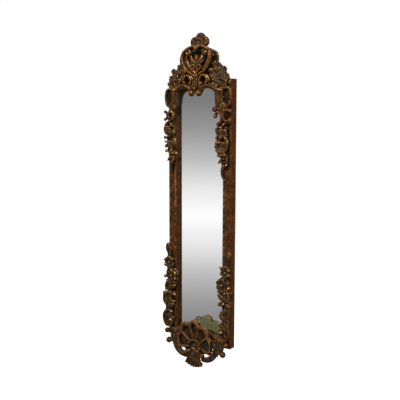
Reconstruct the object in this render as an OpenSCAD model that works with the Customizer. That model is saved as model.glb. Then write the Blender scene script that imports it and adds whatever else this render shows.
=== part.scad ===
// Pier mirror: a tall moulded frame with a carved crest, side festoons and an apron shell.
// +X is the viewer's right, -Y the front, +Z up. The wall is the plane y = 0.
// The origin lies on the wall plane, on the centre line, in the back face of the bottom rail.

/* [Frame] */
// Width across the outer faces of the stiles
frame_w = 354; // [350:1:358]
// Height of the stiles
frame_h = 1190; // [1188:1:1196]
// Depth from the wall to the front of the moulding
frame_d = 38; // [37:0.5:40]
// Width of the moulding from its outer face to its lip
moulding_w = 44; // [43:0.5:45]
// Width of the rebate behind the lip
rebate_w = 17; // [15:0.5:18]
// Depth of the rebate that holds the glass and its backing
rebate_d = 16; // [15:0.5:17]
// Height of the top rail between the stiles
top_rail_h = 22; // [20:1:24]

/* [Arch] */
// Height of the arch's crown above the underside
arch_crown_z = 1165; // [1160:1:1166]
// Height at which the arch leaves the stiles
arch_foot_z = 1100; // [1096:1:1104]
// Thickness of the board that closes the arch corners
arch_board_t = 14; // [12:1:18]

/* [Glass and back] */
// Thickness of the mirror glass
glass_t = 4; // [3:0.5:4]
// Thickness of the backing board
backing_t = 8.7; // [8:0.1:8.7]
// Gap round the glass in its rebate
glass_gap = 2; // [1:0.5:3]

/* [Crest and apron] */
// Thickness of the board that carries the crest
crest_board_t = 16; // [12:1:18]
// Thickness of the plate under the arch scrolls
arch_plate_t = 22; // [18:1:24]
// Thickness of the block that carries the apron
apron_core_t = 22; // [18:1:24]

/* [Back fittings] */
// Radius of the turn button's pivot hole
button_bore_r = 2.1; // [1.8:0.05:2.2]
// Length of a turn button from pivot to tip
button_reach = 23; // [20:1:24]
// Radius of the wire of the hanging ring
ring_wire_r = 1.5; // [1.2:0.1:1.6]
// Height of the hanging rings above the underside
ring_z = 980; // [900:5:1040]

/* [Hidden] */

gilt = "#8a5a22";
dark_gilt = "#4a3018";
worn_gilt = "#b98a3c";
side_brown = "#6b3a18";
olive = "#6d6848";
bare_wood = "#b08a5c";
steel = "#8f9296";

// Heights are counted from the underside of the frame, which lies this far below the origin.
underside = 20;

half_w = frame_w / 2;
front = -frame_d;
glass_front = -rebate_d;
glass_back = glass_front + glass_t;
board_back = glass_back + backing_t;
pocket_floor = -3.2;
lip_x = half_w - moulding_w;
rebate_x = half_w - (moulding_w - rebate_w);
top_rail_z = frame_h - top_rail_h;
rebate_bottom = moulding_w - rebate_w;
rebate_top = frame_h - 14;

crest_back = -14;
crest_front = crest_back - crest_board_t;
crest_top = 1330;
plate_front = front - arch_plate_t;
core_front = front - apron_core_t;
bowl_front = crest_front - 17;

pivot_x = half_w - 16;
pivot_heights = [240, 860];
button_t = 1.4;
button_half = 4.5;
screw_r = button_bore_r - 0.05;
hole_gap = 0.05;

strap_x = half_w - 13.5;
ring_y = -4.2;
strap_t = 1.2;
strap_half = 6;
strap_len = 34;
hanger_floor = ring_y - ring_wire_r - 0.1 - strap_t;
ring_half = 8.5;
ring_rise = 5;
hanger_screw_drops = [12, 26];
hanger_hole_r = 1.7;

dowel_r = 4;
dowel_places = [-100, -50, 50, 100];
apron_screw_x = 24;
apron_screw_z = 22;

ball_sides = 6;

// ---- helpers ----

module from_underside() translate([0, 0, -underside]) children();

module left_side() mirror([1, 0, 0]) children();

// A round bar that lies along Y from depth y0 to y1
module bar_y(x, z, r, y0, y1) translate([x, y1, z]) rotate([90, 0, 0]) cylinder(r = r, h = y1 - y0, $fn = 48);

// A flat shape drawn in x and z that fills the depths y0 to y1
module slab(y0, y1) translate([0, y1, 0]) rotate([90, 0, 0]) linear_extrude(y1 - y0) children();

function mix(a, b, t) = a + (b - a) * t;

// Points of a spiral round c, from radius r0 at angle a0 to r1 at a1
function spiral(c, r0, r1, a0, a1, n) =
  [for (i = [0:n]) let (r = mix(r0, r1, i / n), a = mix(a0, a1, i / n)) c + r * [cos(a), sin(a)]];

// A smooth curve through the listed points, with k steps for each span
function smooth(p, k) = [
  for (i = [0:len(p) - 2], j = [0:k - 1])
    let (t = j / k, a = p[max(i - 1, 0)], b = p[i], c = p[i + 1], d = p[min(i + 2, len(p) - 1)])
    0.5 * (2 * b + (c - a) * t + (2 * a - 5 * b + 4 * c - d) * t * t + (3 * b - a - 3 * c + d) * t * t * t),
  p[len(p) - 1]
];

module blob(x, z, r, y) translate([x, y, z]) sphere(r, $fn = ball_sides);

// A rib of changing thickness along points in x and z: r0 and r1 at its ends, swell added in its middle
module rib(path, r0, r1, y0, y1, swell = 0) {
  n = len(path) - 1;
  for (i = [0:n - 1])
    hull()
      for (j = [i, i + 1])
        blob(path[j][0], path[j][1], mix(r0, r1, j / n) + swell * sin(180 * j / n), mix(y0, y1, j / n));
}

// A round boss, flattened in depth
module boss(x, z, r, y, flat = 0.7) hull() translate([x, y, z]) scale([1, flat, 1]) sphere(r, $fn = 8);

// An open flower with petals round a centre
module flower(x, z, r, y, petals = 5, turn = 18) {
  boss(x, z, r * 0.3, y - r * 0.25, 1);
  for (i = [0:petals - 1]) {
    a = turn + 360 * i / petals;
    hull() {
      blob(x + 0.2 * r * cos(a), z + 0.2 * r * sin(a), r * 0.16, y - r * 0.05);
      blob(x + 0.64 * r * cos(a), z + 0.64 * r * sin(a), r * 0.36, y - r * 0.1);
    }
  }
}

// Keeps what lies in front of depth y
module in_front_of(y) {
  intersection() {
    children();
    translate([-300, y - 200, -300]) cube([600, 200, 1900]);
  }
}

// ---- frame ----

function arc_points(c, r, a0, a1, n) =
  [for (i = [0:n]) let (a = mix(a0, a1, i / n)) c + r * [cos(a), sin(a)]];

// Section of the moulding: x from its outer face inwards, y from the wall to the front
module moulding_section() {
  inner_bead = [moulding_w - 4, frame_d - 4];
  hollow_r = 30;
  hollow_half_angle = asin((moulding_w - 20) / 2 / hollow_r);
  polygon(concat(
    [[0, 0], [0, frame_d - 3]],
    arc_points([3, frame_d - 3], 3, 180, 90, 4),
    [[7, frame_d]],
    arc_points([7, frame_d - 2], 2, 90, 0, 3),
    arc_points([(moulding_w - 2) / 2, frame_d - 2 + hollow_r * cos(hollow_half_angle)], hollow_r,
      270 - hollow_half_angle, 270 + hollow_half_angle, 8),
    arc_points([moulding_w - 9, frame_d - 2], 2, 180, 90, 3),
    arc_points(inner_bead, 4, 90, 10, 4),
    [[moulding_w - 1.5, frame_d - 9], [moulding_w - 1.5, rebate_d + 6]],
    [[moulding_w, rebate_d + 4], [moulding_w, rebate_d]],
    [[moulding_w - rebate_w, rebate_d], [moulding_w - rebate_w, 0]]
  ));
}

module button_pocket(z) {
  translate([rebate_x - 1, pocket_floor, z - 8]) cube([pivot_x + 7.5 - rebate_x + 1, 10, button_reach + 11]);
  bar_y(pivot_x, z, screw_r + hole_gap, -16, 0);
}

module hanger_pocket() {
  translate([strap_x - ring_half - 2.5, hanger_floor, ring_z - strap_len - 1])
    cube([2 * ring_half + 5, 10, strap_len + ring_half + ring_rise + 6]);
  for (drop = hanger_screw_drops)
    bar_y(strap_x, ring_z - drop, hanger_hole_r + hole_gap, hanger_floor - 12, 0);
}

module right_stile_solid() {
  difference() {
    translate([half_w, 0, 0]) mirror([0, 1, 0]) mirror([1, 0, 0])
      linear_extrude(frame_h) moulding_section();
    // the mitre at the foot
    translate([half_w, -60, 0]) rotate([0, 45, 0]) translate([-200, 0, -200]) cube([400, 80, 200]);
    for (z = pivot_heights) button_pocket(z);
    hanger_pocket();
    mitre_spline_right();
  }
}

module bottom_rail_solid() {
  difference() {
    translate([-half_w, 0, 0]) rotate([90, 0, 90]) linear_extrude(frame_w) rotate(90) moulding_section();
    for (side = [0, 1])
      mirror([side, 0, 0]) {
        translate([half_w, -60, 0]) rotate([0, 45, 0]) translate([-200, 0, 0]) cube([400, 80, 200]);
        mitre_spline_right();
        bar_y(apron_screw_x, apron_screw_z, screw_r + hole_gap, -60, 10);
        bar_y(apron_screw_x, apron_screw_z, 4.2, -2, 1);
      }
  }
}

// A thin wooden key let into the two sides of the mitre
module mitre_spline_right() {
  translate([half_w - 22, -21, 22]) rotate([0, -45, 0]) translate([-12, 0, -8]) cube([24, 3, 16]);
}

module left_stile() color(side_brown) from_underside() left_side() right_stile_solid();

module right_stile() color(side_brown) from_underside() right_stile_solid();

module bottom_rail() color(side_brown) from_underside() bottom_rail_solid();

module top_rail() {
  color(side_brown) from_underside() difference() {
    union() {
      translate([-lip_x, front, top_rail_z]) cube([2 * lip_x, frame_d - rebate_d, top_rail_h]);
      translate([-rebate_x, -rebate_d, rebate_top]) cube([2 * rebate_x, rebate_d, frame_h - rebate_top]);
    }
    crest_dowel_bars(hole_gap);
  }
}

module mitre_splines() {
  color(bare_wood) from_underside()
    for (side = [0, 1]) mirror([side, 0, 0]) mitre_spline_right();
}

// ---- arch over the glass ----

// The arched lower edge of the board on the right, from the stile up to the crown
arch_line = smooth([
  [lip_x - 8, arch_foot_z], [121, 1118], [112, 1132], [98, 1141], [80, 1146], [60, 1151], [38, 1158],
  [16, arch_crown_z - 1], [0, arch_crown_z]
], 3);

module arch_board() {
  last = len(arch_line) - 1;
  color(dark_gilt) from_underside() slab(glass_front - arch_board_t, glass_front) polygon(concat(
    [[lip_x, arch_foot_z - 13], [lip_x, top_rail_z], [-lip_x, top_rail_z], [-lip_x, arch_foot_z - 13],
      [8 - lip_x, arch_foot_z - 13]],
    [for (p = arch_line) [-p[0], p[1]]],
    [for (i = [last - 1:-1:0]) arch_line[i]],
    [[lip_x - 8, arch_foot_z - 13]]
  ));
}

// ---- glass and back ----

module plate(y0, y1) {
  half = rebate_x - glass_gap;
  low = rebate_bottom + glass_gap;
  translate([-half, y0, low]) cube([2 * half, y1 - y0, rebate_top - glass_gap - low]);
}

module mirror_glass() color("silver") from_underside() plate(glass_front, glass_back);

module backing_board() color(bare_wood) from_underside() plate(glass_back, board_back);

module setting_blocks() {
  color(bare_wood) from_underside()
    for (x = [-90, 90]) translate([x - 15, glass_front, rebate_bottom]) cube([30, glass_t, glass_gap]);
}

// ---- back fittings ----

// A slotted screw along Y: its head from depth y_head, its shank to y_tip
module screw_y(x, z, r, head_r, y_tip, y_head, head_t) {
  difference() {
    union() {
      bar_y(x, z, r, y_tip, y_head);
      bar_y(x, z, head_r, y_head, y_head + head_t);
    }
    translate([x - head_r, y_head + head_t - 0.5, z - 0.4]) cube([2 * head_r, 1, 0.8]);
  }
}

module turn_button(z) {
  difference() {
    union() {
      bar_y(pivot_x, z, 6, pocket_floor, pocket_floor + button_t);
      bar_y(pivot_x - button_reach + button_half, z, button_half, pocket_floor, pocket_floor + button_t);
      translate([pivot_x - button_reach + button_half, pocket_floor, z - button_half])
        cube([button_reach - button_half, button_t, 2 * button_half]);
    }
    bar_y(pivot_x, z, button_bore_r, -20, 5);
  }
}

module turn_button_upper_right() color(steel) from_underside() turn_button(pivot_heights[1]);

module turn_button_upper_left() color(steel) from_underside() left_side() turn_button(pivot_heights[1]);

module turn_button_lower_right() color(steel) from_underside() turn_button(pivot_heights[0]);

module turn_button_lower_left() color(steel) from_underside() left_side() turn_button(pivot_heights[0]);

module button_screws() {
  head_from = pocket_floor + button_t + 0.1;
  color(steel) from_underside()
    for (side = [0, 1], z = pivot_heights)
      mirror([side, 0, 0]) screw_y(pivot_x, z, screw_r, 4, -15, head_from, 1.2);
}

module hanger_strap() {
  eye_r = ring_wire_r + 0.1 + strap_t;
  difference() {
    union() {
      translate([strap_x - strap_half, hanger_floor, ring_z - strap_len])
        cube([2 * strap_half, strap_t, strap_len]);
      translate([strap_x - strap_half, ring_y, ring_z]) rotate([0, 90, 0])
        cylinder(r = eye_r, h = 2 * strap_half, $fn = 48);
    }
    translate([strap_x - strap_half - 1, ring_y, ring_z]) rotate([0, 90, 0])
      cylinder(r = ring_wire_r + 0.08, h = 2 * strap_half + 2, $fn = 48);
    for (drop = hanger_screw_drops) bar_y(strap_x, ring_z - drop, hanger_hole_r + hole_gap, -20, 5);
  }
}

module hanger_strap_right() color(steel) from_underside() hanger_strap();

module hanger_strap_left() color(steel) from_underside() left_side() hanger_strap();

module hanger_screws() {
  color(steel) from_underside()
    for (side = [0, 1], drop = hanger_screw_drops)
      mirror([side, 0, 0])
        screw_y(strap_x, ring_z - drop, hanger_hole_r, 3.4, hanger_floor - 11, hanger_floor + strap_t, 1.4);
}

// A wire loop shaped like a D: a straight bar in the strap's eye, two legs and a half round
module d_ring() {
  wire = ring_wire_r;
  translate([strap_x, ring_y, ring_z]) {
    translate([-ring_half, 0, 0]) rotate([0, 90, 0]) cylinder(r = wire, h = 2 * ring_half, $fn = 32);
    for (x = [-ring_half, ring_half]) {
      translate([x, 0, 0]) sphere(wire, $fn = 32);
      translate([x, 0, 0]) cylinder(r = wire, h = ring_rise, $fn = 32);
    }
    translate([0, 0, ring_rise]) rotate([90, 0, 0]) rotate_extrude(angle = 180, $fn = 64)
      translate([ring_half, 0]) circle(wire, $fn = 32);
  }
}

module d_ring_right() color(steel) from_underside() d_ring();

module d_ring_left() color(steel) from_underside() left_side() d_ring();

// ---- carriers of the crest and the apron ----

module crest_dowel_bars(gap) {
  for (x = dowel_places)
    translate([x, (crest_front + crest_back) / 2, frame_h - 16 - gap])
      cylinder(r = dowel_r + gap, h = 36 + 2 * gap, $fn = 48);
}

module crest_dowels() color(bare_wood) from_underside() crest_dowel_bars(0);

module crest_board() {
  half = [
    [26, crest_top], [58, 1322], [86, 1302], [92, 1262], [114, 1248], [128, 1222], [146, 1206], [154, frame_h]
  ];
  last = len(half) - 1;
  color(dark_gilt) from_underside() difference() {
    slab(crest_front, crest_back)
      polygon(concat(half, [for (i = [0:last]) [-half[last - i][0], half[last - i][1]]]));
    crest_dowel_bars(hole_gap);
  }
}

module apron_core() {
  color(dark_gilt) from_underside() difference() {
    slab(core_front, front) polygon([[-40, 44], [-40, -10], [-24, -60], [24, -60], [40, -10], [40, 44]]);
    for (x = [-apron_screw_x, apron_screw_x])
      bar_y(x, apron_screw_z, screw_r + hole_gap, -51, front + 1);
  }
}

module apron_screws() {
  color(steel) from_underside()
    for (x = [-apron_screw_x, apron_screw_x]) screw_y(x, apron_screw_z, screw_r, 4, -50, -1.95, 1.4);
}

// ---- crest ----

module crest_finial() {
  y = -30;
  color(gilt) from_underside() intersection() {
    union() {
      boss(0, 1370, 25, y, 0.6);
      boss(0, 1376, 14, y - 8, 0.8);
      for (side = [-1, 1]) {
        boss(side * 31, 1351, 20, y, 0.7);
        boss(side * 16, 1340, 12, y, 0.9);
        boss(side * 36, 1356, 10, y - 6, 0.9);
      }
      boss(0, 1338, 14, y, 1);
    }
    translate([-100, bowl_front, crest_top]) cube([200, 60, 100]);
  }
}

// The heart shape of the cartouche at angle a, from 90 at its top to -90 at its tip
heart_c = [0, 1290];
heart_half = 80;
function heart(a, k = 1) = heart_c + k * [
  heart_half * pow(abs(cos(a)), a < 0 ? 1.35 : 0.9),
  (a < 0 ? 83 : 44) * sin(a)
];

module cartouche_bowl() {
  right = [for (i = [0:24]) let (p = heart(90 - 7.5 * i, 0.97)) [p[0], min(p[1], crest_top)]];
  color(dark_gilt) from_underside() slab(bowl_front, crest_front)
    polygon(concat(right, [for (i = [23:-1:1]) [-right[i][0], right[i][1]]]));
}

module cartouche_rim() {
  path = [for (i = [0:16]) heart(mix(78, -86, i / 16))];
  difference() {
    in_front_of(bowl_front) intersection() {
      union() {
        rib(path, 7, 6, bowl_front - 7, bowl_front - 13, 3);
        rib(spiral([48, 1306], 14, 5, 75, 300, 5), 6, 7, bowl_front - 6, bowl_front - 8);
      }
      translate([0.5, -100, 1200]) cube([200, 100, 200]);
    }
    slab(plate_front, front) arch_plate_outline();
  }
}

module cartouche_rim_right() color(worn_gilt) from_underside() cartouche_rim();

module cartouche_rim_left() color(worn_gilt) from_underside() left_side() cartouche_rim();

module cartouche_acanthus() {
  base = [0, 1268];
  color(gilt) from_underside() in_front_of(bowl_front)
    for (a = [-70, -35, 0, 35, 70]) {
      tip = base + (a == 0 ? 32 : 27) * [sin(a), cos(a)];
      hull() {
        blob(base[0], base[1], 5, bowl_front - 5);
        blob(tip[0], tip[1], 7, bowl_front - 8);
      }
      boss(tip[0] * 1.12, tip[1] + 2, 6, bowl_front - 11, 1);
    }
}

module cartouche_volutes() {
  color(worn_gilt) from_underside() in_front_of(bowl_front)
    for (side = [-1, 1])
      scale([side, 1, 1]) {
        rib(smooth([[1, 1220], [12, 1229], [27, 1243]], 2), 4, 4.5, bowl_front - 6, bowl_front - 8);
        rib(spiral([17, 1247], 10.5, 3, -20, 330, 8), 4.5, 4, bowl_front - 8, bowl_front - 10);
      }
}

module crest_wing() {
  in_front_of(crest_front) intersection() {
    union() {
      rib(smooth([[90, 1262], [96, 1282], [92, 1304]], 3), 6, 7, -34, -34, 3);
      rib(smooth([[92, 1266], [100, 1288], [98, 1308]], 3), 4, 5, -41, -41, 2);
    }
    translate([88.5, -100, 1256]) cube([60, 100, 80]);
  }
}

module crest_wing_right() color(dark_gilt) from_underside() crest_wing();

module crest_wing_left() color(dark_gilt) from_underside() left_side() crest_wing();

module crest_flowers() {
  low = 1158.5;
  high = 1255.5;
  above_rail = frame_h + 0.5;
  intersection() {
    union() {
      flower(101, 1230, 27, -40);
      flower(132, 1203, 29, -42, 5, 54);
      boss(118, 1246, 12, -36);
      boss(94, 1196, 14, -44);
      boss(146, 1172, 14, -46);
      boss(120, 1172, 14, -46);
    }
    union() {
      translate([78.5, -100, low]) cube([100, 100 + front, high - low]);
      translate([78.5, -100, above_rail]) cube([100, 100 + crest_front, high - above_rail]);
    }
  }
}

module crest_flowers_right() color(gilt) from_underside() crest_flowers();

module crest_flowers_left() color(gilt) from_underside() left_side() crest_flowers();

ring_c = [45, 1187];
ring_path_r = 22;

module ring_scroll() {
  in_front_of(plate_front) {
    rib(spiral(ring_c, ring_path_r, ring_path_r, -30, 225, 12), 5.5, 5.5, plate_front - 5, plate_front - 5);
    boss(ring_c[0] + 13, ring_c[1] - 9, 6.5, plate_front - 5, 1);
  }
}

module ring_scroll_right() color(worn_gilt) from_underside() ring_scroll();

module ring_scroll_left() color(worn_gilt) from_underside() left_side() ring_scroll();

module crest_husk() {
  color(gilt) from_underside() in_front_of(plate_front) {
    for (i = [0:3], side = [-1, 1])
      hull() {
        blob(0, 1156 + 11 * i, 4, plate_front - 8);
        blob(side * 9.5, 1166 + 11 * i, 4.5, plate_front - 5);
      }
    boss(0, 1152, 6, plate_front - 8, 1);
  }
}

// Edge of the double arch on the right, from the ball beside the centre line to its foot
arch_edge = smooth([
  [24, 1132], [34, 1151], [57, 1162], [84, 1160], [107, 1147], [119, 1122], [121, 1092]
], 3);
arch_ball = [24, 1130];

module arch_plate_outline() {
  back = len(arch_edge) - 1;
  polygon(concat(
    [[0, 1136], [0, 1194], [14, 1194]],
    arc_points(ring_c, ring_path_r + 8, 165, 10, 8),
    [[77, 1174], [96, 1164], [116, 1150], [127, 1126], [128.5, 1086]],
    [for (i = [back:-1:0]) arch_edge[i] + [0.7, 0.9]]
  ));
}

module arch_scroll() {
  slab(plate_front, front) arch_plate_outline();
  rib(arch_edge, 6.3, 5.3, plate_front - 4.3, plate_front - 1.7, 2);
  boss(arch_ball[0], arch_ball[1], 14, plate_front - 6, 1);
}

module arch_scroll_right() color(worn_gilt) from_underside() arch_scroll();

module arch_scroll_left() color(worn_gilt) from_underside() left_side() arch_scroll();

module corner_leaf() {
  in_front_of(front) intersection() {
    union() {
      rib(smooth([[166, 1088], [174, 1112], [158, 1138], [146, 1148]], 3), 9, 6, -44, -44, 5);
      rib(smooth([[140, 1086], [142, 1112], [137, 1140]], 3), 7, 5, -46, -46, 2);
      rib([[142, 1100], [168, 1100]], 9, 11, -42, -42);
    }
    translate([129, -100, 1080]) cube([70, 100, 77.5]);
  }
}

module corner_leaf_right() color(gilt) from_underside() corner_leaf();

module corner_leaf_left() color(gilt) from_underside() left_side() corner_leaf();

// ---- upper festoons ----

// An arm, a hook and their bulbs hang over the glass on the right (side 1). On the left (side -1) a short
// volute takes their place and two bulbs stand clear of the stile.
module upper_scroll(side) {
  in_front_of(front) intersection() {
    union() {
      rib(spiral([163, 1037], 20, 17, 50, 320, 9), 6.5, 6, -50, -50);
      boss(163, 1036, 14, -42, 0.6);
      rib([[146, 1063], [164, 1060], [178, 1054]], 7, 7, -45, -45);
      rib([[150, 1064], [144, 1036], [156, 1012], [146, 990]], 7, 7, -44, -44);
      if (side > 0) {
        rib([[148, 1062], [123, 1063], [100, 1062]], 7, 9, -47, -52);
        boss(97, 1060, 12, -53, 1);
        rib(smooth([[108, 1033], [117, 1045], [132, 1040], [138, 1022], [126, 1003]], 2), 6, 6, -50, -50);
        boss(106, 1031, 9, -52, 1);
        boss(123, 1001, 9, -50, 1);
        rib([[138, 1022], [152, 1020]], 6, 6, -46, -46);
      } else {
        rib(smooth([[146, 1062], [134, 1072], [124, 1068], [126, 1058]], 2), 6, 6, -48, -50);
        rib(smooth([[170, 1062], [179, 1054], [176, 1036], [179, 1018], [166, 1004]], 2), 6, 6, -48, -48);
        for (z = [1018, 1053]) boss(187, z, 8, -48, 1);
        boss(154, 1008, 9, -50, 1);
      }
    }
    translate([80, -100, 987.5]) cube([120, 100, 92]);
  }
}

module upper_scroll_right() color(worn_gilt) from_underside() upper_scroll(1);

module upper_scroll_left() color(worn_gilt) from_underside() left_side() upper_scroll(-1);

module upper_flower() {
  in_front_of(front) intersection() {
    union() {
      flower(149, 950, 37, -52, 5, -18);
      boss(176, 970, 15, -48);
      boss(122, 970, 14, -50);
      boss(152, 978, 12, -50);
      rib([[124, 966], [150, 948], [174, 966]], 12, 12, -46, -46);
    }
    translate([90, -100, 921]) cube([110, 100, 66]);
  }
}

module upper_flower_right() color(gilt) from_underside() upper_flower();

module upper_flower_left() color(gilt) from_underside() left_side() upper_flower();

// The leaf spike and the tail lean to the viewer's left on both sides: spike_side is 1 outwards, -1 inwards
module upper_shell(spike_side) {
  hinge = [149, 908];
  stem = [146, 850];
  spike = smooth([[2, 2], [16, -9], [28, -22]], 2);
  tail = [[0, 830], [9, 802], [9, 778], [2, 752]];
  in_front_of(front) intersection() {
    union() {
      for (a = [-60:32:100])
        hull() {
          blob(hinge[0], hinge[1], 7, -44);
          blob(hinge[0] - 34 * sin(a), hinge[1] - 23 * cos(a), 9, -50);
        }
      rib([[149, 912], [148, 870], [149, 842], [153, 822]], 12, 7, -44, -43);
      for (x = [126, 141, 156]) boss(x, 866 - abs(x - 141) * 0.2, 9, -48, 1);
      rib([for (p = spike) stem + [spike_side * p[0], p[1]]], 7, 2.5, -46, -46);
      rib([[140, 850], [142, 828], [150, 818]], 5, 5, -47, -47);
      rib([for (p = tail) [147 + spike_side * p[0], p[1]]], 9, 4, -44, -41);
    }
    translate([90, -100, 740]) cube([110, 100, 180]);
  }
}

module upper_shell_right() color(gilt) from_underside() upper_shell(-1);

module upper_shell_left() color(gilt) from_underside() left_side() upper_shell(1);

// ---- lower festoons ----

module lower_flowers() {
  in_front_of(front) {
    boss(157, 421, 26, -44, 0.6);
    flower(160, 350, 34, -52, 5, 36);
    flower(140, 298, 30, -52, 5, 0);
    boss(139, 370, 10, -54, 1);
    boss(178, 290, 12, -52, 1);
    rib([[157, 415], [160, 350], [144, 298], [172, 291]], 13, 13, -45, -45);
  }
}

module lower_flowers_right() color(gilt) from_underside() lower_flowers();

module lower_flowers_left() color(gilt) from_underside() left_side() lower_flowers();

module lower_leaf() {
  in_front_of(front) intersection() {
    union() {
      rib(smooth([[172, 226], [150, 236], [126, 250]], 3), 8, 6, -50, -52, 4);
      rib(smooth([[178, 240], [160, 252], [140, 258]], 3), 7, 5, -48, -48, 2);
      boss(168, 228, 10, -44, 0.8);
      boss(160, 246, 10, -44, 0.8);
    }
    translate([100, -100, 216]) cube([100, 100, 49]);
  }
}

module lower_leaf_right() color(gilt) from_underside() lower_leaf();

module lower_leaf_left() color(gilt) from_underside() left_side() lower_leaf();

module lower_scroll() {
  outer = [
    [136, 204], [160, 204], [181, 186], [178, 150], [184, 108], [180, 74], [160, 58], [140, 66], [136, 84]
  ];
  in_front_of(front) intersection() {
    union() {
      rib(smooth(outer, 2), 7, 7, -50, -60, 2);
      boss(193, 204, 8, -52, 1);
      boss(131, 203, 10, -54, 1);
      boss(133, 160, 8, -50, 1);
      boss(156, 128, 20, -44, 0.6);
      boss(148, 164, 16, -44, 0.6);
      boss(158, 90, 18, -46, 0.8);
      rib([[166, 200], [160, 164], [158, 128], [158, 92]], 11, 11, -42, -42);
      rib([[134, 203], [188, 203]], 8, 8, -44, -44);
    }
    translate([90, -100, 45]) cube([120, 100, 170.5]);
  }
}

module lower_scroll_right() color(gilt) from_underside() lower_scroll();

module lower_scroll_left() color(gilt) from_underside() left_side() lower_scroll();

// ---- apron ----

bead_c = [0, -20];
bead_ring_r = 34;
bead_r = 6.5;

// Lobe tips on the right: x, z and radius, from the top down
shell_tips = [[14, 95, 12], [45, 68, 12], [75, 53, 12], [80, 8, 17]];

module apron_shell() {
  color(gilt) from_underside() difference() {
    for (side = [-1, 1], tip = shell_tips) {
      reach = [side * tip[0], tip[1]] - bead_c;
      near = bead_c + 53.5 * reach / norm(reach);
      mid = bead_c + 0.7 * reach;
      hull() {
        blob(near[0], near[1], 12, -64);
        blob(mid[0], mid[1], tip[2] + 2, -64);
      }
      hull() {
        blob(mid[0], mid[1], tip[2] + 2, -64);
        blob(side * tip[0], tip[1], tip[2], -62);
      }
    }
    translate([-40, core_front, -60]) cube([80, 60, 104]);
    translate([-200, front, -60]) cube([400, 60, 200]);
    for (side = [0, 1]) mirror([side, 0, 0]) translate([89, core_front, -60]) cube([60, 60, 120]);
  }
}

module shell_beads() {
  band_front = core_front - 8;
  color(worn_gilt) from_underside() {
    slab(band_front, core_front) intersection() {
      difference() {
        translate(bead_c) circle(bead_ring_r + 5, $fn = 64);
        translate(bead_c) circle(bead_ring_r - 5, $fn = 64);
      }
      translate([-60, bead_c[1]]) square([120, 80]);
    }
    for (a = [12:26:168]) boss(bead_ring_r * cos(a), bead_c[1] + bead_ring_r * sin(a), bead_r, band_front, 1);
  }
}

module apron_arm() {
  arm = [[112, 14], [115, -8], [109, -32], [88, -52], [64, -61], [46, -64]];
  intersection() {
    union() {
      rib(smooth(arm, 3), 11, 9, -50, -62, 2);
      rib(spiral([114, 24], 16, 6, -30, 300, 7), 8, 7, -48, -52);
      rib([[116, 2], [138, -8], [156, -19]], 9, 9, -50, -62);
      rib([[124, 12], [148, 17], [168, 21]], 8, 8, -48, -58);
      boss(48, -52, 13, -66, 1);
      boss(157, -22, 15, -64, 1);
      boss(171, 21, 13, -60, 1);
    }
    translate([35.5, -100, -120]) cube([160, 100 + front, 164]);
  }
}

module apron_arm_right() color(dark_gilt) from_underside() apron_arm();

module apron_arm_left() color(dark_gilt) from_underside() left_side() apron_arm();

module apron_pendant() {
  color(gilt) from_underside() difference() {
    for (i = [-2:2]) {
      hull() {
        blob(5 * i, -34, 9, -66);
        blob(12 * i, -72, 10, -66);
      }
      hull() {
        blob(12 * i, -72, 10, -66);
        blob(17 * i, -100 + 2 * i * i, 12, -66);
      }
      boss(17.5 * i, -107 + 3 * i * i, 12, -66, 0.9);
    }
    translate([-60, core_front, -60]) cube([120, 60, 100]);
    translate([-60, front, -140]) cube([120, 60, 160]);
    for (side = [0, 1]) mirror([side, 0, 0]) translate([35, -100, -78]) cube([60, 100, 100]);
  }
}

// ---- parts ----

left_stile();
right_stile();
top_rail();
bottom_rail();
arch_board();
mirror_glass();
backing_board();
setting_blocks();
mitre_splines();
crest_board();
crest_dowels();
apron_core();
apron_screws();
hanger_strap_left();
hanger_strap_right();
hanger_screws();
d_ring_left();
d_ring_right();
turn_button_upper_left();
turn_button_upper_right();
turn_button_lower_left();
turn_button_lower_right();
button_screws();
crest_finial();
cartouche_bowl();
cartouche_rim_left();
cartouche_rim_right();
cartouche_acanthus();
cartouche_volutes();
crest_wing_left();
crest_wing_right();
crest_flowers_left();
crest_flowers_right();
ring_scroll_left();
ring_scroll_right();
crest_husk();
arch_scroll_left();
arch_scroll_right();
corner_leaf_left();
corner_leaf_right();
upper_scroll_left();
upper_scroll_right();
upper_flower_left();
upper_flower_right();
upper_shell_left();
upper_shell_right();
lower_flowers_left();
lower_flowers_right();
lower_leaf_left();
lower_leaf_right();
lower_scroll_left();
lower_scroll_right();
apron_shell();
shell_beads();
apron_arm_left();
apron_arm_right();
apron_pendant();
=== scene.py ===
import bpy
import math
import numpy
from mathutils import Euler, Matrix, Quaternion, Vector


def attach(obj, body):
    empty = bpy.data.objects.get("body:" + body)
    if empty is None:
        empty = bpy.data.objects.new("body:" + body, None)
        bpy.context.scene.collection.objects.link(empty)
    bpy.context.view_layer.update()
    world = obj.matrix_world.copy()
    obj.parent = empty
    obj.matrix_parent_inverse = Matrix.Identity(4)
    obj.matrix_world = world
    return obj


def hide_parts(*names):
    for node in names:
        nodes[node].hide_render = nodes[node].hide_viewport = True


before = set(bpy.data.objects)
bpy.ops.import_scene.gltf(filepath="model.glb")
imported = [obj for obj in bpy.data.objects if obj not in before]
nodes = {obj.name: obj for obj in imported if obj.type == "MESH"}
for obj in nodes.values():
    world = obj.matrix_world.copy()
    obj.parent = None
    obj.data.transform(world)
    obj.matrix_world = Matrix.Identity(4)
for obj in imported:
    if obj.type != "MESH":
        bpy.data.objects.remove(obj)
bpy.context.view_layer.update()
print("frame loaded with", len(nodes), "nodes")

# The drawing is in millimetres: x from the centre line, height above the underside, depth from the wall
underside = 20
railFront = -38
boardFront = -30
bowlFront = -47
plateFront = -60
coreFront = -60


def place(x, height, depth):
    return Vector((x, depth, height - underside)) / 1000


photoView = {
    "place": (1.8059, -2.2876, 1.0123),
    "yaw": 38.63,
    "pitch": -7.39,
    "roll": 0.15,
    "lens": 58.26,
}


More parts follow.
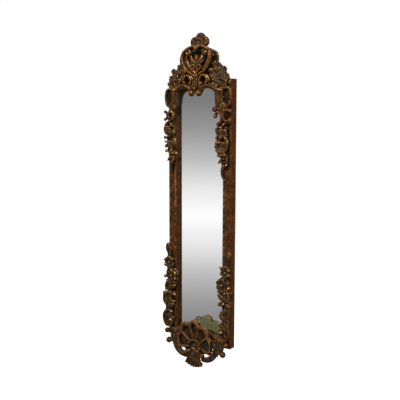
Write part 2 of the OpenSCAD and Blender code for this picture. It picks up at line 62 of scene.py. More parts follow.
def addCamera(view):
    bpy.ops.object.camera_add(location=view["place"])
    camera = bpy.context.object
    camera.name = "photoCamera"
    camera.data.lens = view["lens"]
    camera.data.sensor_width = 36
    camera.data.clip_end = 60
    level = Euler((math.radians(90 + view["pitch"]), 0, math.radians(view["yaw"]))).to_quaternion()
    camera.rotation_mode = "QUATERNION"
    camera.rotation_quaternion = level @ Quaternion((0, 0, 1), math.radians(view["roll"]))
    bpy.context.scene.camera = camera


addCamera(photoView)
print("camera placed")


def deselect():
    bpy.ops.object.select_all(action="DESELECT")


def pick(*chosen):
    deselect()
    for one in chosen:
        one.select_set(True)
    bpy.context.view_layer.objects.active = chosen[0]


def applyModifier(piece, kind, **values):
    modifier = piece.modifiers.new(kind.lower(), kind)
    for key, value in values.items():
        setattr(modifier, key, value)
    pick(piece)
    bpy.ops.object.modifier_apply(modifier=modifier.name)


# A stroke is a run of (x, height, depth, radius) that the gouge leaves standing
def smooth(points, steps=4):
    run = []
    last = len(points) - 1
    for i in range(last):
        near = [points[max(i - 1, 0)], points[i], points[i + 1], points[min(i + 2, last)]]
        for j in range(steps):
            t = j / steps
            run.append([
                0.5 * (2 * b + (c - a) * t + (2 * a - 5 * b + 4 * c - d) * t ** 2
                       + (3 * b - a - 3 * c + d) * t ** 3)
                for a, b, c, d in zip(*near)
            ])
    run.append(list(points[last]))
    return run


def spiral(x, height, radius, angle, depth, thick, steps=14):
    run = []
    for i in range(steps + 1):
        t = i / steps
        at = math.radians(angle[0] + (angle[1] - angle[0]) * t)
        reach = radius[0] + (radius[1] - radius[0]) * t
        run.append([
            x + reach * math.cos(at),
            height + reach * math.sin(at),
            depth[0] + (depth[1] - depth[0]) * t,
            thick[0] + (thick[1] - thick[0]) * t,
        ])
    return run


def sideways(run, i):
    # unit normal of a run in the plane of the wall
    a, b = run[max(i - 1, 0)], run[min(i + 1, len(run) - 1)]
    along = Vector((b[0] - a[0], b[1] - a[1]))
    along = along.normalized() if along.length > 1e-6 else Vector((1, 0))
    return Vector((-along.y, along.x))


def shifted(run, aside, forward, thick):
    moved = []
    for i, (x, height, depth, radius) in enumerate(run):
        normal = sideways(run, i) * radius * aside
        moved.append([x + normal.x, height + normal.y, depth - radius * forward, radius * thick])
    return moved


def rolled(run, inside=1):
    # a round moulding with a lower step along one side and a foot that reaches back to the wood behind
    return [run, shifted(run, inside * 0.95, -0.2, 0.5), shifted(run, 0, -0.7, 1.1)]


def plain(run):
    return [run]


def ridged(run, thick=0.5):
    return [run, shifted(run, 0, 0.6, thick)]


def edged(run):
    return ridged(run, 0.45)


def thinRidged(run):
    return ridged(run, 0.4)


def folded(run):
    # a plump leaf with a soft raised rim along both edges
    return [run, shifted(run, 0.66, 0.42, 0.36), shifted(run, -0.66, 0.42, 0.36)]


def railed(run):
    return [run, shifted(run, -0.6, 0.35, 0.45), shifted(run, 0.6, 0.35, 0.45)]


# the steps between a run's points, 0 where the run is a spiral, and what is laid along it
strokeStyles = {
    "straight": (1, plain),
    "plain": (4, plain),
    "fine": (5, plain),
    "straightRidged": (1, ridged),
    "ridged": (4, ridged),
    "edged": (4, edged),
    "thin": (4, thinRidged),
    "thinFine": (5, thinRidged),
    "thinFinest": (6, thinRidged),
    "pod": (4, folded),
    "leaf": (6, folded),
    "arm": (5, railed),
    "coil": (0, ridged),
}


def drawRuns(runs, side=1):
    # each run is its style and its (x, height, depth, radius) points; side -1 draws it mirrored
    strokes = []
    for style, *points in runs:
        steps, lay = strokeStyles[style]
        run = smooth(points, steps) if steps else spiral(*points)
        strokes += lay([[side * x, *rest] for x, *rest in run])
    return strokes


# how far beyond a stroke's end each ring of its dome lies, and its part of the end's radius
domeRings = ((0.5, 0.86), (0.92, 0.38))


def roundEnds(stroke):
    def beyond(end, inner):
        step = Vector(end[:3]) - Vector(inner[:3])
        step = step.normalized() if step.length > 1e-6 else Vector((0, 0, 1))
        return [[*(Vector(end[:3]) + step * end[3] * far), end[3] * part] for far, part in domeRings]

    head = beyond(stroke[0], stroke[1])
    tail = beyond(stroke[-1], stroke[-2])
    return [head[1], head[0], *stroke, *tail]


def drawStrokes(strokes, resolution=2):
    deselect()
    bpy.ops.curve.primitive_nurbs_path_add()
    path = bpy.context.object
    path.data.splines.clear()
    path.data.dimensions = "3D"
    path.data.bevel_depth = 0.001
    path.data.bevel_resolution = resolution
    path.data.use_fill_caps = True
    for stroke in strokes:
        rounded = roundEnds(stroke)
        spline = path.data.splines.new("POLY")
        spline.points.add(len(rounded) - 1)
        for point, (x, height, depth, radius) in zip(spline.points, rounded):
            point.co = (*place(x, height, depth), 1)
            point.radius = radius
    path.location = (0, 0, 0)
    pick(path)
    bpy.ops.object.convert(target="MESH")
    return bpy.context.object


def addBall(x, height, depth, radius):
    deselect()
    bpy.ops.mesh.primitive_uv_sphere_add(
        segments=20, ring_count=12, radius=radius / 1000, location=place(x, height, depth))
    ball = bpy.context.object
    bpy.ops.object.transform_apply(location=True, rotation=True, scale=True)
    return ball


def selectFaces(piece, wanted):
    bpy.context.tool_settings.mesh_select_mode = (False, False, True)
    pick(piece)
    bpy.ops.object.mode_set(mode="EDIT")
    bpy.ops.mesh.select_all(action="DESELECT")
    bpy.ops.object.mode_set(mode="OBJECT")
    for face in piece.data.polygons:
        face.select = wanted(face)
    bpy.ops.object.mode_set(mode="EDIT")


def addPetal(length, width, thick, dish):
    # a round petal with a dished face, its foot at the origin and its tip up
    deselect()
    bpy.ops.mesh.primitive_uv_sphere_add(segments=24, ring_count=14, radius=1, rotation=(math.pi / 2, 0, 0))
    petal = bpy.context.object
    bpy.ops.object.transform_apply(location=True, rotation=True, scale=True)
    selectFaces(petal, lambda face: face.center.y < -0.62)
    for inset, sink in ((0.18, 0.5), (0.25, 0.2)):
        bpy.ops.mesh.inset(thickness=inset, depth=0)
        bpy.ops.transform.translate(value=(0, sink * dish, 0))
    bpy.ops.object.mode_set(mode="OBJECT")
    petal.data.transform(
        Matrix.Translation((0, 0, length * 0.5 / 1000))
        @ Matrix.Diagonal((width / 2000, thick / 2000, length / 2000, 1)))
    return petal


def turned(x, height, depth, turn, cup):
    # turn 0 points a petal up, a larger cup brings its tip forward
    around = Matrix.Rotation(math.radians(turn), 4, "Y")
    lean = Matrix.Rotation(math.radians(cup), 4, "X")
    return Matrix.Translation(place(x, height, depth)) @ around, lean


def addLobe(x, height, depth, size, turn=0, cup=0):
    # one lobe of (length, width, thickness, dish)
    lobe = addPetal(*size)
    around, lean = turned(x, height, depth, turn, cup)
    lobe.data.transform(around @ lean)
    return lobe


flowerShape = {
    "petals": 5,
    "petal": (0.86, 0.92, 0.56),
    "dish": 0.5,
    "cup": 24,
    "gap": 0.14,
    "heart": 0.24,
    "rise": 0.08,
}


def addFlower(s, x, height, depth, radius, turn):
    # the petals of one flower are copies of the first, and a ball is its heart
    deselect()
    master = addPetal(*(radius * part for part in s["petal"]), s["dish"])
    outwards = Matrix.Translation((0, 0, radius * s["gap"] / 1000))
    made = []
    for i in range(s["petals"]):
        petal = master if i == s["petals"] - 1 else master.copy()
        if petal is not master:
            petal.data = master.data.copy()
            bpy.context.collection.objects.link(petal)
        around, lean = turned(x, height, depth, turn + 360 * i / s["petals"], s["cup"])
        petal.data.transform(around @ outwards @ lean)
        made.append(petal)
    made.append(addBall(x, height, depth - radius * s["rise"], radius * s["heart"]))
    return made


def addSlab(outline, depths):
    # a board of the given outline, from a disc whose rim is moved onto it
    deselect()
    bpy.ops.mesh.primitive_circle_add(vertices=len(outline), radius=0.01, fill_type="NGON")
    slab = bpy.context.object
    for vertex, (x, height) in zip(slab.data.vertices, outline):
        vertex.co = place(x, height, depths[0])
    selectFaces(slab, lambda face: True)
    bpy.ops.mesh.extrude_region_move(TRANSFORM_OT_translate={"value": (0, (depths[1] - depths[0]) / 1000, 0)})
    bpy.ops.mesh.select_all(action="SELECT")
    bpy.ops.mesh.normals_make_consistent(inside=False)
    bpy.ops.object.mode_set(mode="OBJECT")
    return slab


chisel = bpy.data.textures.new("chiselMarks", "CLOUDS")
chisel.noise_scale = 0.006
chisel.noise_depth = 2


def markRelief(piece, rounds=(10, 50)):
    # how far each point stands out from its surroundings, in millimetres, for narrow and for broad forms
    mesh = piece.data
    count = len(mesh.vertices)
    flat = numpy.empty(count * 3)
    mesh.vertices.foreach_get("co", flat)
    points = flat.reshape(-1, 3)
    facing = numpy.empty(count * 3)
    mesh.vertices.foreach_get("normal", facing)
    normals = facing.reshape(-1, 3)
    ends = numpy.empty(len(mesh.edges) * 2, dtype=int)
    mesh.edges.foreach_get("vertices", ends)
    pairs = ends.reshape(-1, 2)
    start = numpy.concatenate((pairs[:, 0], pairs[:, 1]))
    end = numpy.concatenate((pairs[:, 1], pairs[:, 0]))
    near = numpy.maximum(numpy.bincount(start, minlength=count), 1)[:, None]
    softened = points
    for done in range(1, max(rounds) + 1):
        summed = [numpy.bincount(start, weights=softened[end, axis], minlength=count) for axis in range(3)]
        softened = numpy.stack(summed, axis=1) / near
        if done in rounds:
            layer = mesh.attributes.new("narrow" if done == rounds[0] else "broad", "FLOAT", "POINT")
            layer.data.foreach_set("value", ((points - softened) * normals).sum(axis=1) * 1000)


def finishCarving(piece, voxel, softness, grow):
    applyModifier(piece, "REMESH", mode="VOXEL", voxel_size=voxel / 1000)
    applyModifier(piece, "SMOOTH", factor=0.5, iterations=softness)
    applyModifier(piece, "DISPLACE", texture=chisel, texture_coords="LOCAL", strength=grow, mid_level=0.5)
    pick(piece)
    bpy.ops.object.shade_smooth()
    markRelief(piece)


def carve(name, strokes=(), parts=(), back=railFront, voxel=1.25, grow=0.0005, cuts=()):
    # joins what was drawn into one piece of wood, flat at its back, and cuts it at the (point, normal) planes
    made = list(parts)
    if strokes:
        made.append(drawStrokes(strokes))
    pick(*made)
    bpy.ops.object.join()
    piece = bpy.context.object
    piece.name = name
    piece.data.name = name
    bpy.ops.object.transform_apply(location=True, rotation=True, scale=True)
    # one closed skin before the saw
    applyModifier(piece, "REMESH", mode="VOXEL", voxel_size=voxel / 1000)
    bpy.ops.object.mode_set(mode="EDIT")
    bpy.ops.mesh.select_all(action="SELECT")
    bpy.ops.mesh.bisect(plane_co=(0, back / 1000, 0), plane_no=(0, 1, 0), use_fill=True, clear_outer=True)
    for point, normal in cuts:
        bpy.ops.mesh.select_all(action="SELECT")
        bpy.ops.mesh.bisect(plane_co=place(*point), plane_no=normal, use_fill=True, clear_outer=True)
    bpy.ops.object.mode_set(mode="OBJECT")
    finishCarving(piece, voxel, 2, grow)
    return piece


def carveDrawn(name, s, strokes=(), **values):
    # a piece that its settings draw as a plate, lobes, balls and runs
    parts = [addSlab(s["outline"], s["depths"])] if "outline" in s else []
    parts += [addLobe(*lobe) for lobe in s.get("lobes", ())]
    parts += [addBall(*ball) for ball in s.get("balls", ())]
    drawn = drawRuns(s.get("runs", ())) + drawRuns(s.get("pairs", ())) + drawRuns(s.get("pairs", ()), -1)
    for key in ("back", "cuts"):
        if key in s:
            values[key] = s[key]
    return carve(name, [*strokes, *drawn], parts, **values)


def mirror(piece):
    piece.data.transform(Matrix.Scale(-1, 4, (1, 0, 0)))
    pick(piece)
    bpy.ops.object.mode_set(mode="EDIT")
    bpy.ops.mesh.select_all(action="SELECT")
    bpy.ops.mesh.flip_normals()
    bpy.ops.object.mode_set(mode="OBJECT")


def twin(piece, name):
    # the left piece, a mirrored copy with its own mesh
    pick(piece)
    bpy.ops.object.duplicate()
    copy = bpy.context.object
    copy.name = name
    copy.data.name = name
    mirror(copy)
    return copy


carvings = []


def keep(piece, node, slot, finish):
    carvings.append({"piece": piece, "node": node, "slot": slot, "finish": finish})


def keepPair(piece, node, slot, finish):
    keep(piece, node + "_right", slot, finish)
    keep(twin(piece, piece.name.replace("Right", "Left")), node + "_left", slot, finish)


def above(height):
    # a cut that takes away what lies over this height
    return ((0, height, 0), (0, 0, 1))


def below(height):
    return ((0, height, 0), (0, 0, -1))


def inside(x):
    return ((x, 0, 0), (-1, 0, 0))


finial = {
    "lobes": (
        (4, 1345, -31, (48, 52, 30, 0.7), 0), (12, 1345, -31, (40, 46, 30, 0.7), 62),
        (-12, 1345, -31, (40, 46, 30, 0.7), -62),
    ),
    "balls": ((0, 1348, -42, 6),),
    "runs": (
        ("plain", (0, 1334, -31, 14), (0, 1352, -31, 14)),
        ("ridged", (-10, 1356, -36, 5), (2, 1366, -41, 7.5), (12, 1360, -38, 6)),
    ),
    "pairs": (("ridged", (0, 1332, -38, 6), (14, 1338, -41, 6), (25, 1337, -37, 5)),),
    "folds": (
        ((-8, 1354), (-12, 1366), (-7, 1378), (3, 1384)), ((8, 1354), (15, 1364), (14, 1376), (8, 1384)),
        ((-12, 1346), (-24, 1352), (-34, 1356), (-38, 1364)),
        ((14, 1346), (26, 1352), (36, 1355), (40, 1362)), ((-14, 1340), (-26, 1340), (-38, 1345)),
        ((14, 1340), (28, 1340), (40, 1346)),
    ),
    "foldDepth": (-39, -37),
    "foldThick": (4.5, 6),
    "back": -15,
    "cuts": (below(1331),),
}


def between(ends, share):
    return ends[0] + (ends[1] - ends[0]) * share


def carveFinial(s):
    # three round lobes with soft folds, over a short stem
    folds = []
    for fold in s["folds"]:
        run = []
        for i, (x, height) in enumerate(fold):
            share = i / (len(fold) - 1)
            run.append((x, height, between(s["foldDepth"], share), between(s["foldThick"], share)))
        folds.append(smooth(run))
    keep(carveDrawn("crestFinial", s, folds), "crest_finial", "gilt_ornament", "gilt")


carveFinial(finial)


heart = {
    "centre": 1290,
    "half": 80,
    "rise": 44,
    "drop": 83,
    "powers": (0.9, 1.35),
    "bowl": 0.97,
    "top": 1330,
    "bowlRings": ((5, 0), (4, 4), (5, -3), (4, 1), (4, 7), (8, 3), (9, 1)),
    "bumps": (22, -2, -26),
    "bump": ((0, 0, -50, 6), (5, 2, -50, 6.5), (7, 6, -49, 5)),
    "outer": (80, -87, 1.0, (-55, -62), (5.5, 6.5)),
    "inner": (72, -84, 0.77, (-46, -50), (3.4, 4)),
}


def heartPoint(angle, size=1.0):
    at = math.radians(angle)
    power = heart["powers"][angle < 0]
    reach = heart["drop"] if angle < 0 else heart["rise"]
    return (size * heart["half"] * abs(math.cos(at)) ** power, heart["centre"] + size * reach * math.sin(at))


def heartRun(first, last, size, depth, thick, steps=30):
    run = []
    for i in range(steps + 1):
        t = i / steps
        x, height = heartPoint(first + (last - first) * t, size)
        run.append([x, height, between(depth, t), between(thick, math.sin(math.pi * t))])
    return run


def carveBowl(s):
    right = [heartPoint(90 - 6 * i, s["bowl"]) for i in range(31)]
    outline = right + [(-x, height) for x, height in reversed(right[1:-1])]
    bowl = addSlab([(x, min(height, s["top"])) for x, height in outline], (boardFront, bowlFront))
    bowl.name = "cartoucheBowl"
    selectFaces(bowl, lambda face: face.normal.y < -0.9)
    for inset, sink in s["bowlRings"]:
        bpy.ops.mesh.inset(thickness=inset / 1000, depth=0)
        bpy.ops.transform.translate(value=(0, sink / 1000, 0))
    bpy.ops.object.mode_set(mode="OBJECT")
    finishCarving(bowl, 1.3, 3, 0.0008)
    keep(bowl, "cartouche_bowl", "dark_gilt", "dark")


def carveRim(s, rim):
    outer = heartRun(*s["outer"])
    strokes = [outer, shifted(outer, 0, -1.2, 1.05), heartRun(*s["inner"])]
    for angle in s["bumps"]:
        x, height = heartPoint(angle)
        bump = [(x + aside, height + up, depth, thick) for aside, up, depth, thick in s["bump"]]
        strokes.append(smooth(bump))
    keepPair(carveDrawn("cartoucheRimRight", rim, strokes), "cartouche_rim", "worn_gilt", "bright")


cartoucheRim = {
    "runs": (
        ("coil", 48, 1306, (14, 5), (100, 380), (-52, -58), (6, 5.5)),
        ("ridged", (16, 1334, -54, 8), (9, 1330, -57, 8), (4, 1321, -57, 6)),
    ),
    "balls": ((50, 1303, -57, 7),),
    "back": bowlFront,
    "cuts": (inside(0.4),),
}
acanthus = {
    "runs": (("plain", (0, 1258, -50, 7), (0, 1276, -54, 9), (0, 1292, -54, 3)),),
    "pairs": (
        ("plain", (4, 1258, -50, 7), (15, 1268, -54, 8.5), (27, 1280, -55, 7), (31, 1293, -54, 2.5)),
        ("plain", (8, 1256, -50, 6), (22, 1262, -53, 6.5), (33, 1271, -52, 2.5)),
    ),
    "back": bowlFront + 4,
}
volutes = {
    "pairs": (
        ("ridged", (1, 1215, -57, 4), (10, 1224, -59, 4), (24, 1238, -60, 4)),
        ("coil", 15, 1243, (12, 7), (-40, 300), (-61, -61), (3.6, 3.4), 20),
        ("straight", (2, 1222, -46, 6), (15, 1243, -44, 9)),
    ),
    "back": bowlFront,
}

carveBowl(heart)
carveRim(heart, cartoucheRim)
keep(carveDrawn("cartoucheAcanthus", acanthus), "cartouche_acanthus", "gilt_ornament", "gilt")
keep(carveDrawn("cartoucheVolutes", volutes), "cartouche_volutes", "worn_gilt", "bright")
print("crest heart carved")

crestSide = {
    "panel": (
        (78, 1234), (97, 1237), (103, 1252), (106, 1272), (105, 1290), (99, 1304), (90, 1311), (78, 1314),
    ),
    "panelDepths": (boardFront + 4, -37),
    "flowers": (
        (141, 1229, -38, 17, 10), (155, 1199, -38, 17, 40), (124, 1202, -46, 19, 0),
        (144, 1172, -44, 19, 60), (114, 1226, -40, 16, 20),
    ),
    "lobes": (
        (94, 1244, -40, (24, 22, 16), -10), (106, 1244, -36, (20, 18, 14), 40),
        (86, 1222, -44, (24, 22, 16), -70), (92, 1212, -45, (24, 22, 16), -150),
        (86, 1200, -44, (20, 18, 15), -60), (166, 1184, -38, (20, 18, 14), 150),
        (106, 1172, -48, (22, 20, 15), 200), (98, 1166, -50, (18, 16, 13), -90),
        (128, 1156, -50, (22, 20, 15), 160),
    ),
    "lobeDish": 0.5,
    "lobeCup": 14,
    "runs": (
        ("coil", 97, 1187, (9, 4), (-60, 220), (-50, -54), (4.5, 4), 14),
        ("plain", (92, 1234, -34, 13), (114, 1224, -34, 15), (136, 1212, -34, 15), (140, 1180, -36, 14)),
        ("plain", (86, 1216, -36, 11), (98, 1198, -38, 12), (112, 1180, -40, 12), (124, 1166, -42, 10)),
        ("straight", (116, 1242, -33, 11), (120, 1230, -33, 11)),
    ),
}


def carveCrestSides(s):
    # a smooth hollow panel with a light rim
    panel = addSlab(s["panel"], s["panelDepths"])
    rim = smooth([(x - 1, height - 2, -38, 4) for x, height in s["panel"][1:]], 5)
    piece = carve("crestWingRight", [rim], [panel], back=boardFront, cuts=[inside(80.5)])
    keepPair(piece, "crest_wing", "dark_gilt", "dark")

    parts = []
    for flower in s["flowers"]:
        parts += addFlower(flowerShape, *flower)
    for x, height, depth, size, turn in s["lobes"]:
        parts.append(addLobe(x, height, depth, (*size, s["lobeDish"]), turn, s["lobeCup"]))
    piece = carve("crestFlowersRight", drawRuns(s["runs"]), parts, back=boardFront)
    keepPair(piece, "crest_flowers", "gilt_ornament", "gilt")


carveCrestSides(crestSide)


ringScroll = {
    "x": 45,
    "height": 1187,
    "reach": 21,
    "thick": 4.6,
    "depth": -66,
    "turn": (-32, 225),
    "wallReach": 22,
    "wallThick": 4.5,
    "wallDepths": (-53, -46, -40),
}
husk = {
    "runs": (("ridged", (0, 1150, -64, 6), (0, 1176, -66, 5), (0, 1202, -62, 3)),),
    "balls": ((0, 1152, -68, 7),),
    "lobes": [
        (0, 1153 + 11.5 * i, -65, (21, 11, 10, 1.0), side * 42, 6)
        for i in range(4) for side in (-1, 1)
    ],
    "back": plateFront,
}
archEdge = smooth([(24, 1132), (34, 1151), (57, 1162), (84, 1160), (107, 1147), (119, 1122), (121, 1092)], 4)
archScroll = {
    "outline": (
        (0, 1136), (0, 1194), (12, 1194), (18, 1174), (30, 1165), (48, 1163), (66, 1168), (78, 1174),
        (96, 1165), (116, 1151), (127, 1127), (128.5, 1086),
        *((x, height) for x, height in reversed(archEdge)),
    ),
    "depths": (railFront, plateFront),
    "edgeDepth": -62,
    "edgeThick": (6.5, 8.5),
    "rollEnd": ((112, 1146, -61, 7.5), (124, 1143, -59, 6.5), (134, 1143, -56, 5)),
    "leg": ((106, 1140, -52, 9), (113, 1120, -54, 11), (114, 1098, -54, 11), (115, 1078, -53, 10)),
    "runs": (("straight", (124, 1118, -46, 9), (126, 1076, -46, 9)),),
    "curl": (21, 1131, (7, 3), (60, -280), (-67, -72), (5.5, 4.5), 16),
    "balls": ((21, 1131, -64, 14), (112, 1157, -59, 7), (122, 1134, -58, 6.5)),
    "cuts": (inside(0.3),),
}


def level(ring, reach, depth, thick):
    # the ring's own arc at one depth
    return spiral(ring["x"], ring["height"], (reach, reach), ring["turn"], (depth, depth), (thick, thick), 26)


def carveRing(ring):
    run = level(ring, ring["reach"], ring["depth"], ring["thick"])
    piece = carve("ringScrollRight", [run, shifted(run, 0, -0.7, 1.1)], [addBall(60, 1177, -66, 5.5)],
                  back=plateFront)
    keepPair(piece, "ring_scroll", "worn_gilt", "bright")


def carveArch(s, ring):
    last = len(archEdge) - 1
    edge = []
    for i, (x, height) in enumerate(archEdge):
        edge.append([x, height, s["edgeDepth"], between(s["edgeThick"], math.sin(math.pi * i / last))])
    # the gold roll leaves the opening at its shoulder and runs out over the corner
    strokes = rolled([*edge[:16], *s["rollEnd"]], -1)
    leg = smooth(s["leg"])
    strokes += [leg, shifted(leg, 0.75, 0.1, 0.4)]
    # the ring stands on a wall of its own, round a deep hollow
    strokes += [level(ring, ring["wallReach"], depth, ring["wallThick"]) for depth in ring["wallDepths"]]
    # the cove inside the arch falls back to the glass
    strokes.append([[x + sideways(edge, i).x * -2, height + sideways(edge, i).y * -2, -47, 5.5]
                    for i, (x, height, depth, radius) in enumerate(edge) if i > 8])
    strokes.append(spiral(*s["curl"]))
    keepPair(carveDrawn("archScrollRight", s, strokes), "arch_scroll", "worn_gilt", "bright")


carveRing(ringScroll)
keep(carveDrawn("crestHusk", husk), "crest_husk", "gilt_ornament", "gilt")
carveArch(archScroll, ringScroll)
print("arch carved")

# a long hollow between two rims, closed in a point below, with a tongue that rises in it
cornerLeaf = {
    "outline": (
        (136, 1148), (150, 1154), (168, 1150), (178, 1140), (183, 1120), (181, 1100), (174, 1084),
        (160, 1072), (138, 1074),
    ),
    "depths": (boardFront, -43),
    "runs": (
        ("thinFinest", (152, 1151, -50, 6), (166, 1152, -50, 6.5), (178, 1142, -50, 6.5),
         (183, 1120, -50, 6), (181, 1098, -50, 6), (174, 1080, -49, 6.5), (160, 1072, -47, 6)),
        ("thinFinest", (146, 1150, -51, 6.5), (138, 1138, -52, 6.5), (136, 1114, -52, 6),
         (139, 1092, -51, 6), (137, 1074, -50, 6)),
        ("fine", (146, 1056, -50, 6), (140, 1072, -50, 6), (144, 1086, -51, 5.5), (152, 1080, -50, 5.5),
         (153, 1062, -48, 5.5)),
        ("ridged", (126, 1110, -49, 4.5), (133, 1106, -51, 5), (142, 1112, -49, 4)),
        ("plain", (146, 1060, -42, 10), (160, 1066, -42, 9)),
    ),
    "balls": ((134, 1148, -52, 7),),
    "cuts": (inside(129.2), above(1157)),
}
keepPair(carveDrawn("cornerLeafRight", cornerLeaf), "corner_leaf", "gilt_ornament", "festoon")

festoonBack = (railFront, -47)
shellBack = (railFront, -45)
leftCrescent = (
    "edged", (156, 1006, -56, 6), (171, 1000, -57, 6.5), (181, 985, -57, 6.5), (183, 968, -57, 6.5),
    (178, 953, -56, 6),
)
stem = ("ridged", (158, 1003, -50, 6), (148, 995, -54, 6.5), (141, 984, -53, 6))
# the hook of the right festoon hangs over the glass, with a coil at the end of the arch's leg;
# the left one keeps its curls over the stile
upperScrolls = {
    1: {
        "outline": (
            (126, 1092), (106, 1082), (99, 1066), (108, 1051), (124, 1052), (137, 1042), (143, 1026),
            (141, 1010), (128, 998), (113, 992), (109, 986), (152, 986), (153, 1004), (145, 1018),
            (145, 1046), (152, 1062), (150, 1088),
        ),
        "depths": festoonBack,
        "runs": (
            ("edged", (182, 1053, -54, 5.5), (168, 1058, -55, 6), (154, 1049, -56, 6), (148, 1033, -56, 6),
             (152, 1018, -56, 6), (165, 1009, -55, 6), (180, 1014, -54, 5.5)),
            ("edged", (106, 1033, -53, 7), (109, 1044, -53, 6.5), (120, 1049, -55, 6.5),
             (132, 1042, -56, 7), (139, 1025, -56, 7.5), (136, 1008, -55, 7.5), (123, 1000, -53, 7.5)),
            stem,
            ("plain", (136, 1046, -52, 5.5), (132, 1064, -53, 5.5), (138, 1082, -53, 5.5),
             (148, 1082, -52, 5.5), (148, 1062, -51, 5)),
            ("coil", 99, 1061, (9, 3), (70, -230), (-56, -60), (6, 4.5), 12),
            ("plain", (116, 1092, -48, 10), (112, 1070, -50, 9), (100, 1060, -51, 11)),
        ),
        "balls": (
            (104, 1032, -54, 9.5), (122, 1063, -55, 6), (120, 998, -54, 9.5), (99, 1061, -52, 12),
            (181, 1054, -55, 7), (180, 1014, -55, 7),
        ),
    },
    -1: {
        "outline": (
            (130, 1092), (124, 1076), (130, 1060), (134, 1044), (138, 1020), (142, 986), (182, 986),
            (180, 1002), (175, 1012), (174, 1052), (164, 1066), (150, 1088),
        ),
        "depths": festoonBack,
        "runs": (
            ("edged", (180, 1051, -56, 6.5), (173, 1045, -54, 7), (170, 1034, -53, 7), (173, 1023, -54, 7),
             (180, 1017, -56, 6.5)),
            ("edged", (162, 1024, -55, 5), (163, 1040, -56, 5.5), (153, 1051, -56, 6), (140, 1049, -56, 6),
             (133, 1036, -56, 6), (137, 1021, -56, 6), (149, 1012, -56, 6)),
            stem,
            ("coil", 128, 1070, (10, 4), (60, -270), (-50, -54), (5.5, 4.5)),
            leftCrescent,
        ),
        "balls": ((180, 1051, -58, 7.5), (180, 1017, -58, 7.5), (128, 1069, -52, 6), (154, 1010, -58, 7)),
    },
}
# round petals over a solid ground
upperFlowers = {
    1: {
        "outline": (
            (109, 988), (106, 978), (107, 963), (109, 954), (104, 946), (105, 936), (109, 930), (107, 918),
            (166, 918), (162, 936), (166, 952), (158, 966), (164, 976), (156, 988),
        ),
        "depths": festoonBack,
        "lobes": ((134, 950, -51, (30, 26, 16, 1.0), -52, 8), (140, 952, -50, (32, 26, 16, 0.8), 50, 8)),
        "balls": (
            (139, 973, -56, 6.5), (157, 971, -53, 8), (137, 942, -56, 11), (111, 941, -52, 8),
            (112, 925, -52, 7), (120, 924, -48, 9), (158, 950, -49, 9),
        ),
        "runs": (
            ("edged", (134, 984, -54, 6), (120, 984, -56, 6.5), (112, 974, -56, 6.5), (113, 961, -54, 6)),
            ("ridged", (124, 934, -53, 5), (130, 944, -56, 5.5), (146, 949, -57, 5.5), (160, 940, -56, 6),
             (168, 924, -54, 6), (168, 910, -52, 6)),
        ),
    },
    -1: {
        "outline": (
            (142, 988), (134, 968), (138, 950), (132, 934), (138, 918), (180, 918), (183, 932), (180, 942),
            (182, 954), (186, 966), (184, 980), (180, 988),
        ),
        "depths": festoonBack,
        "lobes": (
            (150, 958, -50, (32, 28, 18, 0.9), 62, 10), (150, 958, -50, (28, 24, 16, 0.8), 130, 10),
            (150, 950, -50, (26, 24, 16, 0.8), -60, 8), (140, 930, -50, (26, 22, 14, 0.6), -140, 8),
        ),
        "balls": ((152, 958, -57, 6.5), (182, 935, -56, 8), (168, 984, -52, 6)),
        "runs": (leftCrescent,),
    },
}
cup = (
    (
        "ridged", (136, 858, -50, 5), (136, 842, -52, 5), (142, 825, -53, 5), (153, 817, -52, 5),
        (162, 824, -48, 4.5),
    ),
    ("plain", (160, 862, -46, 7), (162, 844, -47, 6), (161, 828, -46, 5)),
)
cupBalls = ((122, 864, -52, 8.5), (138, 863, -55, 8.5), (154, 866, -53, 8.5), (148, 877, -54, 6.5))
